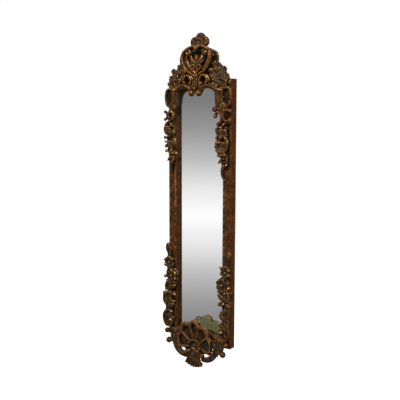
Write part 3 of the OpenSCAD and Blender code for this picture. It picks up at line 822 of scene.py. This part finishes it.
# on the right a deep oval hollow with a scalloped edge and ribs at its foot, on the left a broad veined leaf
upperShells = {
    1: {
        "outline": (
            (107, 922), (104, 910), (102, 897), (107, 884), (118, 875), (116, 862), (123, 852), (134, 850),
            (136, 832), (147, 819), (158, 820), (160, 836), (158, 852), (163, 868), (160, 882), (166, 900),
            (166, 922),
        ),
        "depths": shellBack,
        "lobes": ((138, 946, -49, (76, 62, 26, 1.0), 184),),
        "balls": (
            (110, 917, -52, 8.5), (107, 902, -52, 8.5), (112, 887, -52, 8.5), (119, 918, -48, 9),
            (134, 920, -46, 9), *cupBalls,
        ),
        "runs": (
            ("plain", (128.2, 900, -48, 3), (120.4, 888, -52, 4), (118, 877, -56, 5)),
            ("plain", (132.6, 900, -48, 3), (129.2, 888, -52, 4), (129, 877, -56, 5)),
            ("plain", (137, 900, -48, 3), (138, 888, -52, 4), (140, 877, -56, 5)),
            ("plain", (141.4, 900, -48, 3), (146.8, 888, -52, 4), (151, 877, -56, 5)),
            ("ridged", (168, 924, -54, 6), (168, 904, -54, 6), (162, 886, -53, 6), (154, 877, -52, 5)),
            ("ridged", (146, 850, -46, 8), (131, 842, -50, 7), (117, 828, -48, 2.5)),
            *cup,
            ("ridged", (147, 832, -44, 8), (138, 802, -45, 9), (138, 778, -44, 8), (145, 754, -42, 4)),
        ),
    },
    -1: {
        "outline": (
            (138, 922), (134, 904), (140, 884), (134, 866), (136, 850), (137, 832), (147, 819), (158, 820),
            (164, 840), (172, 860), (180, 876), (178, 888), (182, 902), (180, 922),
        ),
        "depths": shellBack,
        "lobes": ((140, 884, -48, (56, 54, 24, 0.15), 24),),
        "balls": ((179, 918, -54, 8), (178, 896, -54, 8), (176, 874, -55, 7.5), *cupBalls),
        "runs": (
            ("plain", (140, 922, -57, 2.6), (160, 912, -60, 3), (180, 894, -58, 2.6)),
            ("plain", (142, 888, -57, 2.6), (160, 906, -60, 3), (180, 924, -58, 2.6)),
            ("ridged", (146, 850, -46, 8), (161, 842, -50, 7), (175, 828, -48, 2.5)),
            *cup,
            ("ridged", (147, 832, -44, 8), (156, 802, -45, 9), (156, 778, -44, 8), (149, 754, -42, 4)),
        ),
    },
}
upperPieces = (
    ("upperScroll", upperScrolls, (below(986.5),), "upper_scroll", "worn_gilt"),
    ("upperFlower", upperFlowers, (above(986.5), below(920.5)), "upper_flower", "gilt_ornament"),
    ("upperShell", upperShells, (above(920.5),), "upper_shell", "gilt_ornament"),
)
for side, where in ((1, "Right"), (-1, "Left")):
    for name, drawings, cuts, node, slot in upperPieces:
        piece = carveDrawn(name + where, drawings[side], cuts=cuts)
        if side < 0:
            mirror(piece)
        keep(piece, node + "_" + where.lower(), slot, "festoon")
print("upper festoons carved")

lowerFlowers = {
    "outline": (
        (160, 414), (158, 384), (138, 368), (138, 346), (144, 332), (130, 320), (118, 312), (114, 300),
        (120, 288), (116, 276), (122, 264), (130, 258), (176, 258), (182, 290), (180, 330), (184, 350),
        (184, 374), (176, 384), (182, 410), (170, 418),
    ),
    "depths": (railFront, -50),
    "lobes": (
        (175, 394, -44, (50, 30, 20, 0), 2), (165, 352, -50, (34, 22, 18, 0.8), -54, 12),
        (165, 354, -50, (30, 28, 18, 1.0), -4, 12), (166, 352, -50, (28, 28, 18, 1.0), 52, 12),
        (164, 350, -50, (30, 28, 18, 1.0), 118, 12), (162, 350, -50, (30, 26, 18, 1.0), 176, 12),
        (160, 350, -50, (26, 24, 18, 0.8), -110, 12), (146, 293, -52, (32, 30, 19, 1.0), -60, 14),
        (146, 291, -52, (32, 30, 19, 1.0), -122, 14), (148, 294, -52, (30, 28, 18, 1.0), 6, 12),
        (149, 292, -51, (30, 28, 18, 1.0), 66, 12), (147, 290, -51, (32, 28, 18, 1.0), 150, 12),
    ),
    "balls": (
        (163, 351, -57, 5.5), (147, 292, -58, 6), (184, 364, -57, 8), (183, 341, -57, 8),
        (184, 284, -57, 8.5), (168, 272, -52, 7),
    ),
    "runs": (
        ("thin", (152, 364, -52, 5), (142, 370, -56, 5), (131, 372, -54, 2.5)),
        ("plain", (158, 412, -43, 3.5), (162, 420, -45, 4), (164, 428, -44, 2.5)),
        ("plain", (150, 322, -52, 5), (160, 330, -53, 5), (172, 326, -52, 5)),
        ("plain", (172, 318, -51, 5), (178, 304, -51, 5.5), (176, 288, -50, 5)),
    ),
    "cuts": (below(265),),
}
lowerLeaf = {
    "lobes": ((176, 224, -42, (66, 30, 24, 0)),),
    "balls": ((160, 256, -52, 7), (128, 262, -54, 8)),
    "runs": (
        ("plain", (172, 224, -41, 13), (162, 242, -41, 15), (152, 258, -41, 14)),
        ("plain", (150, 238, -44, 8), (140, 250, -44, 11), (136, 262, -46, 10)),
        ("leaf", (176, 218, -46, 8), (158, 229, -54, 11), (142, 239, -57, 10), (127, 246, -55, 5.5)),
        ("ridged", (176, 262, -52, 6), (184, 240, -54, 6), (182, 218, -53, 6)),
        ("straight", (172, 234, -44, 9), (184, 219, -49, 9)),
    ),
    "cuts": (above(265), below(215.8)),
}
# long runs fill the surface behind the loop and the scroll
lowerScroll = {
    "balls": (
        (188, 204, -60, 8.5), (131, 202, -54, 8), (184, 208, -60, 7), (176, 54, -49, 9), (147, 78, -63, 9),
        (156, 208, -54, 7), (168, 66, -56, 7),
    ),
    "runs": (
        ("thinFine", (176, 202, -58, 6), (188, 198, -60, 6), (192, 182, -60, 6), (190, 164, -60, 6),
         (182, 150, -58, 6)),
        ("thinFine", (147, 118, -58, 6), (162, 125, -60, 6.5), (180, 116, -61, 7), (190, 96, -61, 7.5),
         (188, 72, -61, 7.5), (176, 52, -61, 7.5), (158, 46, -61, 7), (145, 58, -61, 6.5),
         (142, 74, -61, 6.5)),
        ("leaf", (180, 130, -48, 8), (162, 141, -55, 11), (148, 150, -57, 10), (134, 155, -55, 4.5)),
        ("leaf", (176, 184, -46, 7), (162, 174, -51, 9), (146, 167, -52, 8), (136, 167, -50, 4)),
        ("plain", (166, 206, -41, 14), (166, 164, -41, 16), (164, 126, -41, 17), (164, 90, -42, 18),
         (164, 62, -44, 15)),
        ("plain", (180, 204, -50, 9), (183, 170, -50, 9), (180, 140, -48, 9), (180, 104, -48, 11),
         (180, 72, -49, 10)),
        ("straight", (150, 86, -46, 12), (152, 62, -47, 11)),
        ("straightRidged", (166, 206, -50, 8), (186, 206, -57, 7.5)),
        ("straightRidged", (150, 202, -48, 9), (136, 202, -52, 7.5)),
        ("ridged", (150, 214, -50, 7), (144, 226, -52, 6), (136, 214, -50, 6)),
    ),
    "cuts": (above(215.8), below(44)),
}
for name, drawing, node in (("lowerFlowersRight", lowerFlowers, "lower_flowers"),
                            ("lowerLeafRight", lowerLeaf, "lower_leaf"),
                            ("lowerScrollRight", lowerScroll, "lower_scroll")):
    keepPair(carveDrawn(name, drawing), node, "gilt_ornament", "festoon")
print("lower festoons carved")


# a flute is its side, angle, reach, width and two walls; the web is thin wood between the flutes
apronShell = {
    "beadHeight": -20,
    "start": 42,
    "short": 8,
    "narrow": 0.40,
    "walls": ((75, 110), (38, 106), (-8, 94)),
    "wallDepths": (-61, -67),
    "wallThick": (6, 8.5),
    "flutes": (
        (0, 90, 121, 22, (-1, 0), (1, 0)), (-1, 56, 117, 24, (-1, 0), (-1, 1)),
        (1, 56, 114, 24, (1, 0), (1, 1)), (-1, 14, 104, 24, (-1, 1), (-1, 2)),
        (1, 14, 106, 24, (1, 1), (1, 2)),
    ),
    "ribs": (-0.8, -0.4, 0, 0.4, 0.8),
    "ribDepths": (-57, -54),
    "ribThick": (7, 9),
    "lipDepth": -68,
    "lipThick": (9, 11.5),
    "lipLift": 7,
    "web": (
        (0, 90), (18, 90), (27, 72), (44, 76), (62, 64), (64, 42), (82, 26), (92, 10), (88, -12), (76, -28),
        (60, -44), (36, -44),
    ),
    "webDepths": (-49, -60),
    "back": -53,
    "cuts": (((96, 0, 0), (1, 0, 0)), inside(-96)),
}


def fluteRun(s, side, angle, reach, wide, aside, depths, thick):
    # runs from the beads to the lip of a flute, at the share `aside` of its half width
    at = math.radians(angle)
    out = Vector((math.cos(at) * (side or 1), math.sin(at)))
    across = Vector((-out.y, out.x))
    run = []
    for i in range(9):
        t = i / 8
        spread = s["narrow"] + (1 - s["narrow"]) * math.sin(math.pi * t / 2)
        centre = out * (s["start"] + (reach - s["start"] - s["short"]) * t) + across * aside * wide * spread
        run.append([centre.x, s["beadHeight"] + centre.y, between(depths, t), between(thick, t)])
    return run


def carveShell(s):
    strokes = []
    ends = {}
    for side in (-1, 1):
        for i, (angle, reach) in enumerate(s["walls"]):
            wall = fluteRun(s, side, angle, reach, 0, 0, s["wallDepths"], s["wallThick"])
            ends[side, i] = wall[-1][:2]
            strokes += [wall, shifted(wall, 0, -0.8, 1)]
    small, large = s["lipThick"]
    for side, angle, reach, wide, first, last in s["flutes"]:
        for aside in s["ribs"]:
            strokes.append(fluteRun(s, side, angle, reach, wide, aside, s["ribDepths"], s["ribThick"]))
        # the lip rolls forward from wall to wall
        x, height, *rest = fluteRun(s, side, angle, reach, wide, 0, (0, 0), (0, 0))[-1]
        lift = Vector((x, height - s["beadHeight"])).normalized() * s["lipLift"]
        strokes.append(smooth([(*ends[first], s["lipDepth"], small),
                               (x + lift.x, height + lift.y, s["lipDepth"], large),
                               (*ends[last], s["lipDepth"], small)]))
        strokes.append([[x + lift.x * 0.4, height + lift.y * 0.4, -60, 8], [x, height, -57, 9]])
    outline = [*s["web"], *((-x, height) for x, height in reversed(s["web"][1:]))]
    back = addSlab(outline, s["webDepths"])
    piece = carve("apronShell", strokes, [back], back=s["back"], cuts=s["cuts"])
    keep(piece, "apron_shell", "gilt_ornament", "shell")


shellBeads = {
    "height": -20,
    "reach": 34,
    "count": 7,
    "depth": -71,
    "thick": 6.4,
    "bandReach": (34, 34),
    "bandDepth": (-65, -65),
    "bandThick": (5.5, 5.5),
}


def carveBeads(s):
    band = spiral(0, s["height"], s["bandReach"], (0, 180), s["bandDepth"], s["bandThick"], 24)
    beads = []
    for i in range(s["count"]):
        at = math.radians(180 / (s["count"] - 1) * i)
        x, height = s["reach"] * math.cos(at), s["height"] + s["reach"] * math.sin(at)
        beads.append(addBall(x, height, s["depth"], s["thick"]))
    piece = carve("shellBeads", [band], beads, back=coreFront, voxel=0.9, grow=0.0002)
    keep(piece, "shell_beads", "worn_gilt", "bright")


apronArm = {
    "runs": (
        ("arm", (116, 26, -52, 10), (121, 2, -57, 13), (116, -26, -60, 14), (99, -50, -62, 14),
         (74, -64, -63, 13), (46, -70, -62, 10)),
        ("coil", 119, 22, (13, 8), (-60, 250), (-60, -66), (6.5, 5.5)),
        ("pod", (112, 36, -50, 9), (134, 40, -58, 11), (150, 36, -60, 9), (160, 28, -59, 7)),
        ("ridged", (120, 22, -46, 9), (146, 22, -54, 9), (166, 21, -58, 8)),
        ("straight", (152, 30, -44, 10), (114, 30, -44, 12)),
        ("straight", (143, 17, -49, 14), (141, -6, -52, 13)),
        ("straight", (104, 20, -46, 12), (100, 6, -48, 10)),
        ("plain", (140, 10, -54, 8), (132, -14, -58, 8), (124, -34, -60, 7)),
        ("straight", (122, -10, -59, 11), (140, -17, -60, 10), (154, -21, -62, 9)),
        ("straight", (100, 16, -49, 10), (103, -6, -50, 9)),
    ),
    "balls": ((46, -52, -68, 12), (158, -21, -62, 14.5), (172, 23, -59, 12.5)),
    "cuts": (above(44), inside(36)),
}

# a fringe of folds hangs from under a pointed hood; a fold is its height, half width, shift aside,
# depth and radius at four places, and the hem rises at its sides
pendant = {
    "folds": 7,
    "fold": (
        (-34, 22, -4, -66, 4.5), (-60, 26, -4, -68, 5), (-86, 35, -5, -69, 5.5), (-110, 43, -5, -66, 7.5),
    ),
    "hemRise": 10,
    "runs": (
        ("plain", (-20, -34, -56, 9), (-20, -60, -56, 10), (-24.4, -84, -56, 11), (-27.6, -100, -56, 10)),
        ("plain", (-4, -34, -56, 9), (-4, -60, -56, 10), (-2, -84, -56, 11), (-2, -100, -56, 10)),
        ("plain", (12, -34, -56, 9), (12, -60, -56, 10), (20.4, -84, -56, 11), (23.6, -100, -56, 10)),
        ("plain", (-36, -96, -59, 10), (-2, -106, -59, 11), (34, -96, -59, 10)),
        ("plain", (-30, -52, -60, 9), (-31, -74, -60, 10), (-34, -92, -60, 9)),
        ("plain", (-27, -64, -66, 5), (-22, -44, -69, 6), (-8, -26, -70, 6.5), (4, -32, -70, 6),
         (12, -50, -68, 5.5), (16, -66, -66, 4)),
        ("straight", (-8, -32, -62, 10), (-8, -52, -60, 12)),
    ),
    "back": -56,
}


def carvePendant(s):
    strokes = []
    half = (s["folds"] - 1) / 2
    for i in range(s["folds"]):
        aside = (i - half) / half
        fold = [(wide * aside + shift, height, depth, thick)
                for height, wide, shift, depth, thick in s["fold"]]
        x, hem, depth, thick = fold[-1]
        fold[-1] = (x, hem + s["hemRise"] * aside ** 2, depth, thick)
        strokes.append(smooth(fold, 5))
    keep(carveDrawn("apronPendant", s, strokes), "apron_pendant", "gilt_ornament", "dark")


carveShell(apronShell)
carveBeads(shellBeads)
keepPair(carveDrawn("apronArmRight", apronArm), "apron_arm", "dark_gilt", "dark")
carvePendant(pendant)
print("apron carved")


shades = {
    "darkest": (0.010, 0.0048, 0.0022, 1),
    "umber": (0.036, 0.0145, 0.0046, 1),
    "brownGold": (0.165, 0.052, 0.0072, 1),
    "amber": (0.22, 0.080, 0.013, 1),
    "wornGold": (0.60, 0.36, 0.11, 1),
    "olive": (0.088, 0.070, 0.030, 1),
    "bole": (0.14, 0.024, 0.008, 1),
    "ungilded": (0.26, 0.255, 0.13, 1),
    "redSide": (0.165, 0.036, 0.004, 1),
    "streak": (0.052, 0.044, 0.024, 1),
    "fleck": (0.38, 0.105, 0.013, 1),
    "rawWood": (0.16, 0.085, 0.04, 1),
}


def startMaterial(name):
    material = bpy.data.materials.new(name)
    material.use_nodes = True
    tree = material.node_tree
    shader = tree.nodes["Principled BSDF"]
    return material, tree, shader


def addNode(tree, kind, links=None, **values):
    node = tree.nodes.new(kind)
    for key, value in values.items():
        if key in node.inputs:
            node.inputs[key].default_value = value
        else:
            setattr(node, key, value)
    for socket, source in (links or {}).items():
        tree.links.new(source, node.inputs[socket])
    return node


def noiseOf(tree, coords, scale, detail=5, rough=0.6):
    values = {"Scale": scale, "Detail": detail, "Roughness": rough}
    return addNode(tree, "ShaderNodeTexNoise", {"Vector": coords}, **values).outputs["Fac"]


def ranged(tree, value, low, high, toLow=0.0, toHigh=1.0):
    node = addNode(tree, "ShaderNodeMapRange", {0: value}, interpolation_type="SMOOTHSTEP")
    for i, number in enumerate((low, high, toLow, toHigh)):
        node.inputs[i + 1].default_value = number
    return node.outputs[0]


def blended(tree, share, first, second):
    node = addNode(tree, "ShaderNodeMix", data_type="RGBA")
    for index, value in ((0, share), (6, first), (7, second)):
        if isinstance(value, (tuple, float)):
            node.inputs[index].default_value = value
        else:
            tree.links.new(value, node.inputs[index])
    return node.outputs[2]


def coated(tree, base, coats):
    # lays each (share, shade) over what is below it
    for share, shade in coats:
        base = blended(tree, share, base, shades[shade])
    return base


def computed(tree, operation, *values, clamp=True):
    node = addNode(tree, "ShaderNodeMath", operation=operation, use_clamp=clamp)
    for index, value in enumerate(values):
        if isinstance(value, (int, float)):
            node.inputs[index].default_value = value
        else:
            tree.links.new(value, node.inputs[index])
    return node.outputs[0]


def product(tree, first, second):
    return computed(tree, "MULTIPLY", first, second)


def splitOf(tree, vector):
    return addNode(tree, "ShaderNodeSeparateXYZ", {"Vector": vector}).outputs


def objectCoords(tree):
    return addNode(tree, "ShaderNodeTexCoord").outputs["Object"]


def normalOf(tree):
    return splitOf(tree, addNode(tree, "ShaderNodeNewGeometry").outputs["Normal"])


def hollowShadeOf(tree, reach):
    return addNode(tree, "ShaderNodeAmbientOcclusion", samples=8, Distance=reach).outputs["AO"]


def stretched(tree, coords, scale):
    return addNode(tree, "ShaderNodeMapping", {"Vector": coords}, Scale=scale).outputs[0]


def finish(tree, shader, base, rough, metallic, specular=None):
    tree.links.new(base, shader.inputs["Base Color"])
    for key, value in (("Roughness", rough), ("Metallic", metallic), ("Specular IOR Level", specular)):
        if isinstance(value, float):
            shader.inputs[key].default_value = value
        elif value is not None:
            tree.links.new(value, shader.inputs[key])


def bumped(tree, shader, height, distance, strength=0.6):
    node = addNode(tree, "ShaderNodeBump", {"Height": height}, Distance=distance, Strength=strength)
    tree.links.new(node.outputs["Normal"], shader.inputs["Normal"])


# share of the ground, share of gold left on the crowns that face up (a painted top light), the height where
# the rubbing starts, share of patina and the depths between which painted shade darkens what lies back
# towards the wall
carvedFinishes = {
    "gilt": {"ground": 0.42, "gold": 0.85, "low": 1.0, "olive": 0.66, "deep": (-0.043, -0.034)},
    "festoon": {"ground": 0.34, "gold": 0.95, "low": 1.1, "olive": 0.60, "deep": (-0.054, -0.046)},
    "bright": {"ground": 0.38, "gold": 0.90, "low": 0.9, "olive": 0.40, "deep": (-0.060, -0.048)},
    "dark": {"ground": 0.28, "gold": 0.85, "low": 1.4, "olive": 0.70, "deep": (-0.046, -0.038)},
    "shell": {"ground": 0.50, "gold": 1.0, "low": 0.45, "olive": 0.80, "deep": (-0.068, -0.060)},
}


def makeCarvedFinish(name, s):
    material, tree, shader = startMaterial("carved_" + name)
    coords = objectCoords(tree)
    narrow = addNode(tree, "ShaderNodeAttribute", attribute_name="narrow").outputs["Fac"]
    broad = addNode(tree, "ShaderNodeAttribute", attribute_name="broad").outputs["Fac"]
    mottle = noiseOf(tree, coords, 60, 6)
    spots = noiseOf(tree, coords, 170, 4)
    grit = noiseOf(tree, coords, 900, 3)
    normal = normalOf(tree)
    kept = 0.4 * s["ground"]
    base = blended(tree, ranged(tree, mottle, 0.66 - kept, 0.84 - kept), shades["umber"], shades["brownGold"])
    # green patina settles below the crowns of the forms; the gouge's grooves hold dirt and painted shade, and
    # painted shade darkens the hollows of the broad forms, the occluded places and what lies deeper towards
    # the wall
    low = product(tree, ranged(tree, broad, 2.4, 0.2), ranged(tree, mottle, 0.42, 0.60))
    base = coated(tree, base, (
        (ranged(tree, noiseOf(tree, coords, 110, 3), 0.60, 0.70, 0.0, 0.6), "bole"),
        (product(tree, low, s["olive"]), "olive"),
        # dirt and painted shade in the gouge's narrow grooves
        (ranged(tree, narrow, -0.1, -0.8, 0.0, 0.8), "darkest"),
        # painted shade in the hollows of the broad forms
        (ranged(tree, broad, -0.2, -2.2, 0.0, 0.85), "darkest"),
        # painted shade where the occlusion finds wood close by
        (ranged(tree, hollowShadeOf(tree, 0.018), 0.60, 0.20, 0.0, 0.9), "darkest"),
        # painted shade: darker the deeper the wood lies towards the wall
        (ranged(tree, splitOf(tree, coords)["Y"], *s["deep"], 0.0, 0.75), "darkest"),
    ))
    # the crowns and raised edges are rubbed down to the gold, and those that face up show more of it, a
    # painted top light
    crown = ranged(tree, computed(tree, "ADD", broad, narrow, clamp=False), s["low"], s["low"] + 2.2)
    rubbedAndToplit = product(tree, crown, ranged(tree, spots, 0.38, 0.60, 0.1, 1.0))
    # painted top light: crowns facing up keep more gold, those facing down less
    rubbedAndToplit = product(tree, rubbedAndToplit, ranged(tree, normal["Z"], -0.75, 0.30, 0.15, s["gold"]))
    base = coated(tree, base, (
        (ranged(tree, rubbedAndToplit, 0.0, 0.55), "amber"),
        (ranged(tree, rubbedAndToplit, 0.45, 1.0), "wornGold"),
        (ranged(tree, grit, 0.66, 0.72, 0.0, 0.6), "darkest"),
    ))
    if name == "shell":
        # the reverse of the shell was never gilded; its pale tone is also a painted light standing in for
        # light falling on the back
        base = coated(tree, base, ((ranged(tree, normal["Y"], 0.35, 0.8), "ungilded"),))
    finish(tree, shader, base, ranged(tree, rubbedAndToplit, 0.0, 1.0, 0.52, 0.38), product(tree, rubbedAndToplit, 0.6), 0.11)
    relief = computed(tree, "ADD", product(tree, spots, 0.7), product(tree, grit, 0.3))
    bumped(tree, shader, relief, 0.0004)
    return material


finishes = {name: makeCarvedFinish(name, values) for name, values in carvedFinishes.items()}


def dress(piece, material):
    piece.data.materials.clear()
    piece.data.materials.append(material)


for carving in carvings:
    dress(carving["piece"], finishes[carving["finish"]])
    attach(carving["piece"], "mirror")
    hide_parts(carving["node"])
    # only the shell and the beads are mirrored in the glass, as the photo shows
    carving["piece"].visible_glossy = carving["node"] in ("apron_shell", "shell_beads")
print("carvings gilded:", len(carvings))

# how much of the ground is rubbed, and the share of streaks on the face and of darkening along its outer
# arris
mouldingFinishes = {
    "left": {"worn": (0.40, 0.67), "streaks": 0.5, "arris": 0.0},
    "right": {"worn": (0.38, 0.66), "streaks": 0.62, "arris": 0.75},
}
mouldingPlaces = {
    "front": (-0.0366, -0.0378),
    "outer": (0.12, 0.165),
    "inner": (-0.03, -0.12),
    "wall": (-0.036, -0.020),
    "arris": (0.1675, 0.1745),
    "back": (-0.0012, -0.0006),
}


def makeMoulding(name, s, at):
    material, tree, shader = startMaterial(name)
    coords = objectCoords(tree)
    spot = splitOf(tree, coords)
    mottle = noiseOf(tree, coords, 48, 7, 0.68)
    spots = noiseOf(tree, coords, 190, 5)
    grit = noiseOf(tree, coords, 700, 3)
    streaks = noiseOf(tree, stretched(tree, coords, (1.0, 1.0, 0.16)), 150, 4, 0.62)
    flecks = noiseOf(tree, coords, 150, 4)
    ridge = product(tree, ranged(tree, spot["Y"], *at["front"]), ranged(tree, mottle, 0.46, 0.66))
    # the outer sides face away from the middle, the walls over the glass towards it
    outward = computed(tree, "MULTIPLY", spot["X"], normalOf(tree)["X"], clamp=False)
    outer = ranged(tree, outward, *at["outer"])
    inner = ranged(tree, outward, *at["inner"])
    face = computed(tree, "SUBTRACT", 1.0, computed(tree, "MAXIMUM", outer, inner))
    arris = ranged(tree, computed(tree, "ABSOLUTE", spot["X"]), *at["arris"], 0.0, s["arris"])
    base = blended(tree, ranged(tree, mottle, *s["worn"]), shades["umber"], shades["brownGold"])
    base = coated(tree, base, (
        (ranged(tree, spots, 0.52, 0.66, 0.0, 0.4), "bole"),
        (ranged(tree, spots, 0.42, 0.34, 0.0, 0.8), "darkest"),
        (ranged(tree, grit, 0.68, 0.72, 0.0, 0.5), "olive"),
        (product(tree, ridge, 0.30), "wornGold"),
        # painted shade in the hollows of the moulding
        (ranged(tree, hollowShadeOf(tree, 0.02), 0.25, 0.75, 0.9, 0.0), "darkest"),
        # the sides are redder than the face, painted shade darkens the walls towards the glass, and the face
        # darkens along the arris
        (product(tree, outer, 0.62), "redSide"),
        (product(tree, inner, ranged(tree, spot["Y"], *at["wall"], 0.0, 0.42)), "umber"),
        (product(tree, arris, face), "umber"),
        # green streaks run down the face, and flecks of the ground show on the sides
        (product(tree, ranged(tree, streaks, 0.53, 0.60, 0.0, s["streaks"]), face), "streak"),
        (product(tree, ranged(tree, flecks, 0.51, 0.62, 0.0, 0.75), outer), "fleck"),
        (product(tree, ranged(tree, flecks, 0.46, 0.36, 0.0, 0.7), outer), "umber"),
        (ranged(tree, spot["Y"], *at["back"]), "rawWood"),
    ))
    finish(tree, shader, base, ranged(tree, mottle, 0.3, 0.7, 0.62, 0.42), 0.1, 0.12)
    relief = computed(tree, "ADD", product(tree, spots, 0.6), product(tree, grit, 0.4))
    bumped(tree, shader, relief, 0.0007)
    return material


def makeBareWood(name, light, dark):
    material, tree, shader = startMaterial(name)
    coords = objectCoords(tree)
    along = stretched(tree, coords, (30, 30, 2.2))
    rings = noiseOf(tree, along, 3.0, 8, 0.62)
    fibre = noiseOf(tree, along, 26, 4, 0.7)
    stain = noiseOf(tree, coords, 9, 4)
    base = blended(tree, ranged(tree, rings, 0.35, 0.65), dark, light)
    base = blended(tree, product(tree, ranged(tree, fibre, 0.45, 0.7), 0.45), base, dark)
    base = coated(tree, base, ((product(tree, ranged(tree, stain, 0.5, 0.75), 0.5), "umber"),))
    finish(tree, shader, base, ranged(tree, fibre, 0.3, 0.7, 0.72, 0.88), 0.0)
    bumped(tree, shader, fibre, 0.0005)
    return material


steelTones = {"light": (0.42, 0.42, 0.41, 1), "dark": (0.24, 0.22, 0.20, 1), "rust": (0.20, 0.08, 0.03, 1)}


def makeSteel(s):
    material, tree, shader = startMaterial("dullSteel")
    coords = objectCoords(tree)
    cloud = noiseOf(tree, coords, 220, 5)
    scratch = noiseOf(tree, coords, 1500, 3)
    base = blended(tree, ranged(tree, cloud, 0.35, 0.7), s["light"], s["dark"])
    base = blended(tree, ranged(tree, cloud, 0.66, 0.72, 0.0, 0.6), base, s["rust"])
    finish(tree, shader, base, ranged(tree, scratch, 0.3, 0.7, 0.32, 0.55), 0.9)
    bumped(tree, shader, scratch, 0.0001, 0.3)
    return material


def makeMirror():
    material, tree, shader = startMaterial("silveredGlass")
    haze = noiseOf(tree, objectCoords(tree), 6, 3)
    base = blended(tree, ranged(tree, haze, 0.3, 0.7), (0.985, 0.985, 0.99, 1), (1.0, 1.0, 1.0, 1))
    finish(tree, shader, base, 0.0, 1.0)
    return material


pine = makeBareWood("backingPine", (0.36, 0.22, 0.11, 1), (0.20, 0.11, 0.05, 1))
darkBoard = makeBareWood("crestBoardWood", (0.12, 0.065, 0.03, 1), (0.05, 0.026, 0.012, 1))
steel = makeSteel(steelTones)
nodeFinishes = {
    "left_stile": makeMoulding("rubbedMouldingLeft", mouldingFinishes["left"], mouldingPlaces),
    "right_stile": makeMoulding("rubbedMoulding", mouldingFinishes["right"], mouldingPlaces),
    "mirror_glass": makeMirror(),
    "arch_board": makeBareWood("archBoardWood", (0.060, 0.030, 0.013, 1), (0.020, 0.010, 0.005, 1)),
    "crest_board": darkBoard,
    "apron_core": darkBoard,
}
for name in ("top_rail", "bottom_rail"):
    nodeFinishes[name] = nodeFinishes["right_stile"]
for name in ("backing_board", "setting_blocks", "mitre_splines", "crest_dowels"):
    nodeFinishes[name] = pine
for name, node in nodes.items():
    if not node.hide_render:
        dress(node, nodeFinishes.get(name, steel))
print("frame finished")

# the glass looks out on a soft glow at one rise of the eye, with (rise, tone) stops below and above it
studio = {
    "floor": {
        "drop": -0.64,
        "radius": 6.0,
        "glow": 0.85,
        "tones": ((0.90, 0.90, 0.90, 1), (0.94, 0.94, 0.94, 1)),
    },
    "glow": {
        "rise": -0.153,
        "spread": 0.089,
        "step": 0.044,
        "below": [(-1.0, 0.30), (-0.45, 0.20)],
        "above": [(0.10, 0.16), (0.35, 0.30), (1.0, 0.65)],
    },
    "ambient": 0.20,
    "aim": (0, 0, 0.55),
    "lamps": {
        "key": {"place": (0.4, -2.9, 3.3), "size": 0.8, "power": 160},
        "fill": {"place": (3.0, -1.0, 0.9), "size": 1.6, "power": 22},
    },
}


def addFloor(s):
    deselect()
    bpy.ops.mesh.primitive_circle_add(
        vertices=96, radius=s["radius"], fill_type="NGON", location=(0, 0, s["drop"]))
    floor = bpy.context.object
    floor.name = "studioFloor"
    material, tree, shader = startMaterial("paleFloor")
    base = blended(tree, noiseOf(tree, objectCoords(tree), 3, 2), *s["tones"])
    finish(tree, shader, base, 0.9, 0.0)
    shader.inputs["Emission Color"].default_value = (1, 1, 1, 1)
    shader.inputs["Emission Strength"].default_value = s["glow"]
    floor.visible_diffuse = False
    floor.visible_glossy = False
    dress(floor, material)


def addLamp(name, lamp, aim):
    towards = Vector(aim) - Vector(lamp["place"])
    bpy.ops.object.light_add(type="AREA", location=lamp["place"])
    light = bpy.context.object
    light.name = name + "Light"
    light.data.size = lamp["size"]
    light.data.energy = lamp["power"]
    light.rotation_euler = towards.to_track_quat("-Z", "Y").to_euler()


def glowTones(s):
    # the glow falls off to half at its spread, the same to both sides
    glow = []
    for i in range(-4, 5):
        away = i * s["step"]
        glow.append((s["rise"] + away, 1 / (1 + (away / s["spread"]) ** 2)))
    return s["below"] + glow + s["above"]


def addWorld(s):
    # the camera sees white, the glass a glow at one rise, and all else one soft tone
    world = bpy.data.worlds.new("studioWorld")
    bpy.context.scene.world = world
    world.use_nodes = True
    tree = world.node_tree
    rise = splitOf(tree, addNode(tree, "ShaderNodeTexCoord").outputs["Generated"])["Z"]
    ramp = addNode(tree, "ShaderNodeValToRGB", {"Fac": computed(tree, "MULTIPLY_ADD", rise, 0.5, 0.5)})
    stops = ramp.color_ramp.elements
    tones = glowTones(s["glow"])
    while len(stops) < len(tones):
        stops.new(0.5)
    for stop, (height, tone) in zip(stops, tones):
        stop.position = height / 2 + 0.5
        stop.color = (tone, tone, tone, 1)
    path = addNode(tree, "ShaderNodeLightPath").outputs
    ambient = (s["ambient"], s["ambient"], s["ambient"], 1)
    seen = blended(tree, path["Is Singular Ray"], ambient, ramp.outputs["Color"])
    seen = blended(tree, path["Is Camera Ray"], seen, (1.0, 1.0, 1.0, 1))
    tree.links.new(seen, tree.nodes["Background"].inputs["Color"])
    bpy.context.scene.view_settings.view_transform = "Standard"


addFloor(studio["floor"])
for name, lamp in studio["lamps"].items():
    addLamp(name, lamp, studio["aim"])
addWorld(studio)
print("studio lit")
